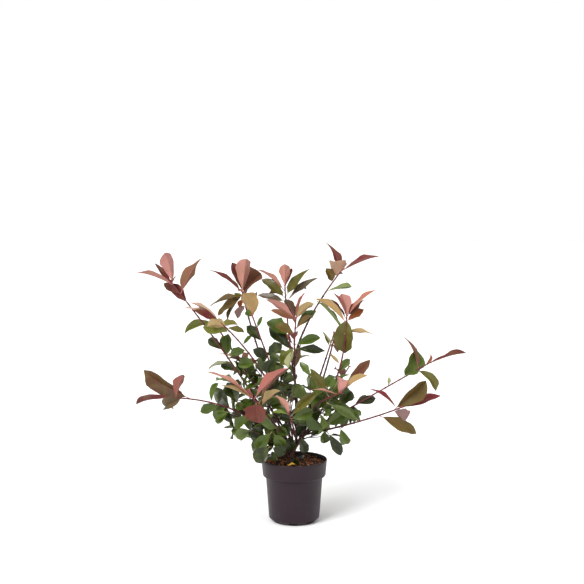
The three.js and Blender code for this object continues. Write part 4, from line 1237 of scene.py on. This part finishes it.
class LeafSettings(bpy.types.PropertyGroup):
    """Sizes of the leaves."""

    young_thickness: length_value("New leaf", "Thickness of a new leaf", 0.5)
    grown_thickness: length_value("Grown leaf", "Thickness of a grown leaf", 0.7)
    shortest_grown: length_value("Shortest grown leaf", "Shortest leaf of a green spray", 46)
    longest_grown: length_value("Longest grown leaf", "Longest leaf of a green spray", 70)
    vein_spacing: length_value("Vein spacing", "Distance between side veins", 6)


class LeafColours(bpy.types.PropertyGroup):
    """The colour of the upper side of each tone of leaf."""

    __annotations__ = {
        tone: colour_value(tone.capitalize(), f"Upper side of the {tone} leaves", codes[0])
        for tone, codes in TONES.items()
    }


class StageSettings(bpy.types.PropertyGroup):
    """The studio round the plant."""

    key: FloatProperty(name="Key light", description="Strength of the soft front light", default=2.9,
                       min=0.0)
    fill: FloatProperty(name="Fill light", description="Strength of the light from the other side",
                        default=0.55, min=0.0)
    top: FloatProperty(name="Top light", description="Strength of the light above", default=0.7, min=0.0)
    walls: FloatProperty(name="Walls", description="Light that comes back from the studio's walls",
                         default=0.45, min=0.0)
    ceiling: FloatProperty(name="Ceiling", description="Light that comes down from the studio's ceiling",
                           default=0.8, min=0.0)


# ---- Operators ----

CAMERA_PLACE = (-0.0057, -3.0, 0.9)
CAMERA_DIP = 5.79
CAMERA_LENS = 72.8
FIRST_NOTCH = -48
NOTCH_OUT = 13.6 * MM
NOTCH_REACH = 24 * MM
SOIL_PLAY = 0.9 * MM
CHIP_REST = (1.0, 3.0)
CHIP_COLOURS = {
    "bark_chips_tawny": ("b36c3e", "5e2e19", 0.45),
    "bark_chips_dark": ("4a271b", "22110b", 0.83),
    "bark_chips_pale": ("c48a58", "74472a", 1.0),
}

_grown = {}


def crown():
    """The plant's stems and leaves, grown once for the wood and the leaves."""
    if "crown" not in _grown:
        _grown["crown"] = Crown(bpy.context.scene.photinia_leaves)
    return _grown["crown"]


def turned(name, profile, around):
    """A round form drawn up from a flat disc, whose end face is extruded and resized along a profile."""
    radius, height = profile[0]
    bpy.ops.object.select_all(action="DESELECT")
    bpy.ops.mesh.primitive_circle_add(vertices=around, radius=radius, fill_type="NGON",
                                      location=(0, 0, height))
    piece = bpy.context.active_object
    piece.name = name
    bpy.ops.object.transform_apply(location=True)
    bpy.ops.object.mode_set(mode="EDIT")
    bpy.ops.mesh.select_all(action="SELECT")
    for wider, higher in profile[1:]:
        bpy.ops.mesh.extrude_region_move(TRANSFORM_OT_translate={"value": (0, 0, higher - height)})
        scale = wider / radius
        bpy.ops.transform.resize(value=(scale, scale, 1), center_override=(0, 0, higher))
        radius, height = wider, higher
    return piece


class PotOperator(bpy.types.Operator):
    """Models the moulded pot with its rim band, foot chamfer and drainage notches"""

    bl_idname = "photinia.pot"
    bl_label = "Pot"

    def execute(self, context):
        sizes = context.scene.photinia_pot
        band_foot = sizes.height - sizes.band_height
        round_edge = 1.5 * MM
        lip = 0.4 * MM
        outside = [
            (sizes.wall_foot_radius, sizes.chamfer_height),
            (sizes.wall_top_radius, band_foot - 3 * MM),
            (sizes.band_foot_radius - round_edge, band_foot - lip),
            (sizes.band_foot_radius, band_foot + round_edge),
            (sizes.rim_radius - 0.6 * MM, sizes.height - 8 * MM),
            (sizes.rim_radius, sizes.height - 6.6 * MM),
            (sizes.rim_radius, sizes.height - round_edge),
            (sizes.rim_radius - lip, sizes.height),
        ]
        inside = [
            (sizes.rim_radius - sizes.wall, sizes.height),
            (sizes.band_foot_radius - sizes.wall, band_foot + 3 * MM),
            (sizes.wall_top_radius - sizes.wall, band_foot - lip),
            (sizes.wall_foot_radius - sizes.wall, sizes.chamfer_height + sizes.wall),
            (sizes.foot_radius, sizes.floor),
        ]
        piece = turned("nursery_pot", [(sizes.foot_radius, 0.0)] + outside + inside, 96)
        close_edit()
        for index in range(sizes.notch_count):
            angle = math.radians(FIRST_NOTCH + index * 360 / sizes.notch_count)
            reach = sizes.foot_radius + NOTCH_OUT
            bpy.ops.object.select_all(action="DESELECT")
            place = (reach * math.cos(angle), reach * math.sin(angle), 0)
            bpy.ops.mesh.primitive_cube_add(size=1, rotation=(0, 0, angle), location=place, scale=(
                NOTCH_REACH, sizes.notch_width, sizes.notch_height * 2))
            cutter = context.active_object
            apply_modifier(piece, "BOOLEAN", "notch", object=cutter, operation="DIFFERENCE", solver="EXACT")
            bpy.data.objects.remove(cutter)
        apply_modifier(piece, "BEVEL", "moulded_edges", width=0.5 * MM, segments=2,
                       angle_limit=math.radians(28))
        smooth(piece, 30)
        finish_piece(piece, [pot_plastic(sizes.colour)], ["pot"])
        return {"FINISHED"}


class SoilOperator(bpy.types.Operator):
    """Fills the pot with potting mix and lays bark chips and a fallen leaf on it"""

    bl_idname = "photinia.soil"
    bl_label = "Soil"

    def execute(self, context):
        sizes = context.scene.photinia_pot
        play = sizes.wall + SOIL_PLAY
        band_foot = sizes.height - sizes.band_height
        top = sizes.height - sizes.soil_below_rim
        radius = sizes.rim_radius - play
        piece = turned("potting_mix", [
            (sizes.foot_radius - MM, sizes.floor + 0.5 * MM),
            (sizes.wall_foot_radius - play, sizes.chamfer_height + sizes.wall),
            (sizes.wall_top_radius - play, band_foot - 0.4 * MM),
            (sizes.band_foot_radius - play, band_foot + 3 * MM),
            (radius, top),
        ], 64)
        bpy.ops.mesh.poke()
        bpy.ops.mesh.subdivide(number_cuts=11)
        close_edit()
        mesh = piece.data
        lumps = piece.vertex_groups.new(name="top")
        inner = [vertex.index for vertex in mesh.vertices
                 if vertex.co.z > top - 0.1 * MM and vertex.co.xy.length < radius - 0.5 * MM]
        lumps.add(inner, 1.0, "REPLACE")
        for grain, depth in ((14, 5.0), (4, 2.2)):
            pattern = bpy.data.textures.new("lumps", "CLOUDS")
            pattern.noise_scale = grain * MM
            pattern.noise_depth = 3
            apply_modifier(piece, "DISPLACE", "lumps", texture=pattern, texture_coords="OBJECT",
                           direction="Z", strength=depth * MM, mid_level=0.55, vertex_group="top")
        smooth(piece, 60)
        damp = shade(sizes.soil_colour, 0.45)
        finish_piece(piece, [bark_mulch("composted_bark", sizes.soil_colour, damp)],
                     ["potting_soil"])
        self.lay_chips(sizes, top, radius)
        self.drop_leaf(context, top)
        return {"FINISHED"}

    def lay_chips(self, sizes, top, radius):
        """Torn chips of bark, each a ball squashed, stretched and broken by noise."""
        ball = bmesh.new()
        bmesh.ops.create_icosphere(ball, subdivisions=2, radius=1.0)
        shape = np.array([vertex.co[:] for vertex in ball.verts])
        faces = [tuple(vertex.index for vertex in face.verts) for face in ball.faces]
        ball.free()
        piles = {name: [] for name in CHIP_COLOURS}
        trunk_foot = np.array(TRUNK_FOOT[:2]) * MM
        for index in range(sizes.chip_count):
            draw = [chance("chip", index, key) for key in range(8)]
            reach = (radius - 4 * MM) * math.sqrt(draw[0])
            place = np.array((math.cos(draw[1] * math.tau), math.sin(draw[1] * math.tau))) * reach
            if np.linalg.norm(place - trunk_foot) < 12 * MM:
                continue
            length = sizes.chip_length * (0.25 + 0.25 * draw[2] ** 2)
            turn = Matrix.Rotation(draw[3] * math.tau, 3, "Z") @ Matrix.Rotation(
                (draw[4] - 0.5) * 0.9, 3, "X") @ Matrix.Rotation((draw[5] - 0.5) * 0.7, 3, "Y")
            broken = shape * np.array([1 + 0.45 * noise.noise(Vector(point) * 1.7 + Vector((index, 0, 0)))
                                       for point in shape])[:, None]
            flat = np.clip(broken, -0.7, 0.7) * (length, length * (0.22 + 0.3 * draw[6]), length * 0.22)
            lifted = flat @ np.array(turn).T
            kind = next(name for name, (*_codes, below) in CHIP_COLOURS.items() if draw[6] < below)
            piles[kind].append(lifted + (place[0], place[1], top + between(CHIP_REST, draw[7]) * MM))
        for name, (light, dark, _below) in CHIP_COLOURS.items():
            piece = joined(name, piles[name], faces)
            smooth(piece, 35)
            finish_piece(piece, [bark_mulch("torn_" + name, linear(light), linear(dark))], [])

    def drop_leaf(self, context, top):
        """One yellowed leaf that has fallen on the soil near the front."""
        root = np.array((-22.0, -52.0, top / MM + 3.0))
        chord = unit(np.array((0.55, -0.5, 0.24)))
        upper = square_to(chord, np.array((0.2, -0.45, 1.0)))
        leaf = Leaf(root, chord, upper, 34.0, 2.2, "pale", "heart", "", 0.4)
        piece = blades("fallen_leaf", [leaf], YOUNG_RINGS, 0.6)
        smooth(piece, 40)
        yellow = linear("c79a3c")
        finish_piece(piece, [
            leaf_skin("dry_leaf_upper", yellow, False, False, 5.0),
            leaf_skin("dry_leaf_under", shade(yellow, 0.8), True, False, 5.0)], [])


class TrunkOperator(bpy.types.Operator):
    """Models the short leaning trunk with its root flare and bark relief"""

    bl_idname = "photinia.trunk"
    bl_label = "Trunk"

    def execute(self, context):
        wood = context.scene.photinia_wood
        route = crown().routes["trunk"]
        shares = np.concatenate([np.linspace(0, TRUNK_END_SHARES[0], TRUNK_RINGS), TRUNK_END_SHARES[1:]])
        ends = (wood.trunk_foot_radius / MM, wood.trunk_top_radius / MM)
        radii = np.array([between(ends, share) * (1 + ROOT_FLARE * math.exp(-share / ROOT_FLARE_REACH))
                          for share in shares])
        joints = np.array([at for _name, parent, at, *_rest in SHOOTS if parent == "trunk"])
        near = np.abs(shares[:, None] - joints[None, :]).min(axis=1)
        radii *= 1 + FORK_SWELL * np.exp(-((near / FORK_REACH) ** 2))
        radii[-len(TRUNK_END_RADII):] *= TRUNK_END_RADII
        piece = round_stock("trunk_bark", [Stem(route.at(shares), radii, "trunk")], 14)
        edit(piece)
        bpy.ops.mesh.subdivide(number_cuts=1)
        bpy.ops.object.mode_set(mode="OBJECT")
        roughen(piece, 5 * MM, wood.relief * 2.2, "trunk_lumps")
        roughen(piece, 1.6 * MM, wood.relief, "trunk_furrows")
        smooth(piece, 50)
        finish_piece(piece, [bark_skin(
            "old_photinia_bark", wood.trunk_colour, linear("3f281d"), linear("94745a"), 0.85)], ["trunk"])
        return {"FINISHED"}


class BoughsOperator(bpy.types.Operator):
    """Models the long boughs with their leaf scars, browner near the trunk and redder further out"""

    bl_idname = "photinia.boughs"
    bl_label = "Boughs"

    def execute(self, context):
        wood = context.scene.photinia_wood
        plant = crown()
        old = []
        red = []
        young = []
        nodes = []
        base = wood.bough_radius / MM
        for name, route in plant.routes.items():
            if name == "trunk":
                continue
            entry = plant.entries[name]
            change = entry * OLD_SHARE
            collar = COLLAR_REACH / route.length

            def radius(first, last, share):
                along = first + (last - first) * share
                if along < entry:
                    plain = between((base, LEAFY_STEM_RADIUS), along / entry)
                else:
                    plain = between((LEAFY_STEM_RADIUS, STEM_TIP_RADIUS), (along - entry) / (1 - entry))
                return plain * (1 + COLLAR_SWELL * math.exp(-along / collar))

            for pile, first, last in ((old, 0.0, change), (red, change, entry), (young, entry, 1.0)):
                pile.append(plant.stretch(route, first, last, partial(radius, first, last), name))
            nodes.append("bough_" + name)
        lower = round_stock("bough_bark", old, 4)
        roughen(lower, 2.2 * MM, wood.relief * 0.8, "bough_furrows")
        smooth(lower, 50)
        finish_piece(lower, [bark_skin(
            "brown_photinia_bark", wood.old_colour, linear("2f1a17"), linear("7c5e4e"), 0.7)], nodes)
        outer = round_stock("bough_bark_red", red, 4)
        roughen(outer, 2.2 * MM, wood.relief * 0.4, "red_furrows")
        smooth(outer, 50)
        finish_piece(outer, [bark_skin(
            "red_photinia_bark", wood.red_colour, linear("341315"), linear("6c3c34"), 0.6)], nodes)
        tips = round_stock("leafy_stems", young, 4)
        smooth(tips, 50)
        finish_piece(tips, [bark_skin(
            "new_photinia_stem", wood.young_colour, linear("3e1416"), linear("6a302c"), 0.5)],
            ["foliage_" + stem.mass for stem in young])
        return {"FINISHED"}


class SpraysOperator(bpy.types.Operator):
    """Models the stems and twigs of the green sprays"""

    bl_idname = "photinia.sprays"
    bl_label = "Spray stems"

    def execute(self, context):
        wood = context.scene.photinia_wood
        stems = crown().stems
        piece = round_stock("spray_twigs", stems, 2)
        smooth(piece, 60)
        finish_piece(piece, [bark_skin(
            "thin_photinia_bark", wood.old_colour, linear("331c19"), linear("7c5e4e"), 0.6)],
            [stem.mass for stem in stems])
        return {"FINISHED"}


class LeavesOperator(bpy.types.Operator):
    """Models every leaf as a folded blade, joined by tone, with stalks and midribs apart"""

    bl_idname = "photinia.leaves"
    bl_label = "Leaves"

    def execute(self, context):
        sizes = context.scene.photinia_leaves
        wood = context.scene.photinia_wood
        colours = context.scene.photinia_leaf_colours
        leaves = crown().leaves
        for tone, (_upper, under, young) in TONES.items():
            own = [leaf for leaf in leaves if leaf.tone == tone]
            if not own:
                continue
            thickness = (sizes.young_thickness if young else sizes.grown_thickness) / MM
            kind = "new" if young else "grown"
            # The commonest tones of grown leaves have fewer rings to a blade.
            rings = YOUNG_RINGS if young or len(own) < COARSE_FROM else MATURE_RINGS
            piece = blades(f"{kind}_leaves_{tone}", own, rings, thickness)
            smooth(piece, 26)
            spacing = sizes.vein_spacing / MM
            finish_piece(piece, [
                leaf_skin(f"{kind}_leaf_{tone}_upper", getattr(colours, tone), False, not young, spacing),
                leaf_skin(f"{kind}_leaf_{tone}_under", linear(under), True, not young, spacing)],
                [leaf.mass for leaf in own])
        for name, young, colour in (("new_leaf_ribs", True, wood.stalk_colour),
                                    ("grown_leaf_ribs", False, wood.grown_stalk_colour)):
            own = [leaf for leaf in leaves if TONES[leaf.tone][2] == young]
            piece = round_stock(name, [rib(leaf, 7 if young else 5) for leaf in own], 0)
            smooth(piece, 80)
            finish_piece(piece, [bark_skin(
                name.replace("ribs", "stalk_skin"), colour, shade(colour, 0.75), shade(colour, 1.3), 0.45)],
                [leaf.mass for leaf in own])
        return {"FINISHED"}


class BudsOperator(bpy.types.Operator):
    """Sets a pointed bud at each tip and a small one above each leaf scar"""

    bl_idname = "photinia.buds"
    bl_label = "Buds"

    def execute(self, context):
        wood = context.scene.photinia_wood
        plant = crown()
        buds = list(plant.buds)
        for name, route in plant.routes.items():
            if name == "trunk":
                continue
            last = route.length * plant.entries[name] - 4
            for index, run in enumerate(np.arange(last, 26, -NODE_SPACING)):
                share = run / route.length
                radius = between((wood.bough_radius / MM, LEAFY_STEM_RADIUS), share / plant.entries[name])
                direction, _upper = spiral_frame(route, share, index * GOLDEN_ANGLE, 50)
                root = route.at(share) + unit(direction - route.ahead(share) * 0.5) * radius * 0.8
                buds.append((root, direction, *SCAR_BUD))
        piece = bud_cluster("buds", buds)
        smooth(piece, 45)
        colour = wood.bud_colour
        finish_piece(piece, [bark_skin(
            "bud_scale", colour, shade(colour, 0.6), shade(colour, 1.4), 0.4)], [])
        return {"FINISHED"}


class StageOperator(bpy.types.Operator):
    """Sets the pale floor, the soft lights and the camera"""

    bl_idname = "photinia.stage"
    bl_label = "Stage"

    def execute(self, context):
        light = context.scene.photinia_stage
        bpy.ops.object.select_all(action="DESELECT")
        bpy.ops.mesh.primitive_plane_add(size=24, location=(0, 0, 0))
        floor = context.active_object
        floor.name = "floor"
        paint, tree, place = start_material("matt_white_floor", {"Roughness": 0.9})
        grain = add(tree, "ShaderNodeTexNoise", "Fac", {"Scale": 8.0, "Vector": place})
        white = laid(tree, (0.93,) * 3, grain, (0, 1), 1.0, (0.96,) * 3)
        tree.links.new(white, tree.nodes["Principled BSDF"].inputs["Base Color"])
        floor.data.materials.append(paint)
        # The air is white where the camera sees it, and otherwise lights the plant as grey studio walls do.
        world = bpy.data.worlds.new("studio_air")
        world.use_nodes = True
        air = world.node_tree
        way = add(air, "ShaderNodeTexCoord", "Generated", {})
        height = add(air, "ShaderNodeSeparateXYZ", "Z", {"Vector": way})
        walls = laid(air, (light.walls,) * 3, height, (-0.2, 0.9), 1.0, (light.ceiling,) * 3)
        shown = add(air, "ShaderNodeLightPath", "Is Camera Ray", {})
        white_air = laid(air, walls, shown, (0, 1), 1.0, (1, 1, 1))
        air.links.new(white_air, air.nodes["Background"].inputs["Color"])
        context.scene.world = world
        for name, strength, width, toward in (
                ("key_light", light.key, 30, (0.6, 0.72, -0.72)),
                ("fill_light", light.fill, 60, (-0.8, 0.7, -0.35)),
                ("top_light", light.top, 60, (0.1, -0.15, -1.0))):
            lamp = bpy.data.lights.new(name, "SUN")
            lamp.energy = strength
            lamp.angle = math.radians(width)
            holder = new_object(name, lamp)
            holder.rotation_euler = Vector(toward).to_track_quat("-Z", "Y").to_euler()
        camera = bpy.data.cameras.new("camera")
        camera.lens = CAMERA_LENS
        camera.sensor_width = 36
        camera.clip_end = 60
        holder = new_object("camera", camera)
        holder.location = CAMERA_PLACE
        holder.rotation_euler = (math.radians(90 - CAMERA_DIP), 0, 0)
        context.scene.camera = holder
        context.scene.view_settings.view_transform = "Standard"
        return {"FINISHED"}


OPERATORS = (PotOperator, SoilOperator, TrunkOperator, BoughsOperator, SpraysOperator, LeavesOperator,
             BudsOperator, StageOperator)
SETTINGS = {
    "photinia_pot": PotSettings,
    "photinia_wood": WoodSettings,
    "photinia_leaves": LeafSettings,
    "photinia_leaf_colours": LeafColours,
    "photinia_stage": StageSettings,
}


class PhotiniaPanel(bpy.types.Panel):
    """Lists the plant's sizes, colours and making steps"""

    bl_idname = "VIEW3D_PT_photinia"
    bl_label = "Potted photinia"
    bl_space_type = "VIEW_3D"
    bl_region_type = "UI"
    bl_category = "Photinia"

    def draw(self, context):
        for name in SETTINGS:
            box = self.layout.box()
            group = getattr(context.scene, name)
            for key in group.bl_rna.properties.keys():
                if key not in ("rna_type", "name"):
                    box.prop(group, key)
        for operator in OPERATORS:
            self.layout.operator(operator.bl_idname)


def register():
    for group in SETTINGS.values():
        bpy.utils.register_class(group)
    for operator in OPERATORS:
        bpy.utils.register_class(operator)
    bpy.utils.register_class(PhotiniaPanel)
    for name, group in SETTINGS.items():
        setattr(bpy.types.Scene, name, PointerProperty(type=group))


def unregister():
    for name in SETTINGS:
        delattr(bpy.types.Scene, name)
    bpy.utils.unregister_class(PhotiniaPanel)
    for operator in reversed(OPERATORS):
        bpy.utils.unregister_class(operator)
    for group in reversed(list(SETTINGS.values())):
        bpy.utils.unregister_class(group)


def main():
    register()
    for operator in OPERATORS:
        group, name = operator.bl_idname.split(".")
        if "FINISHED" not in getattr(getattr(bpy.ops, group), name)():
            raise RuntimeError(f"{operator.bl_label} did not finish")


if __name__ == "__main__":
    main()
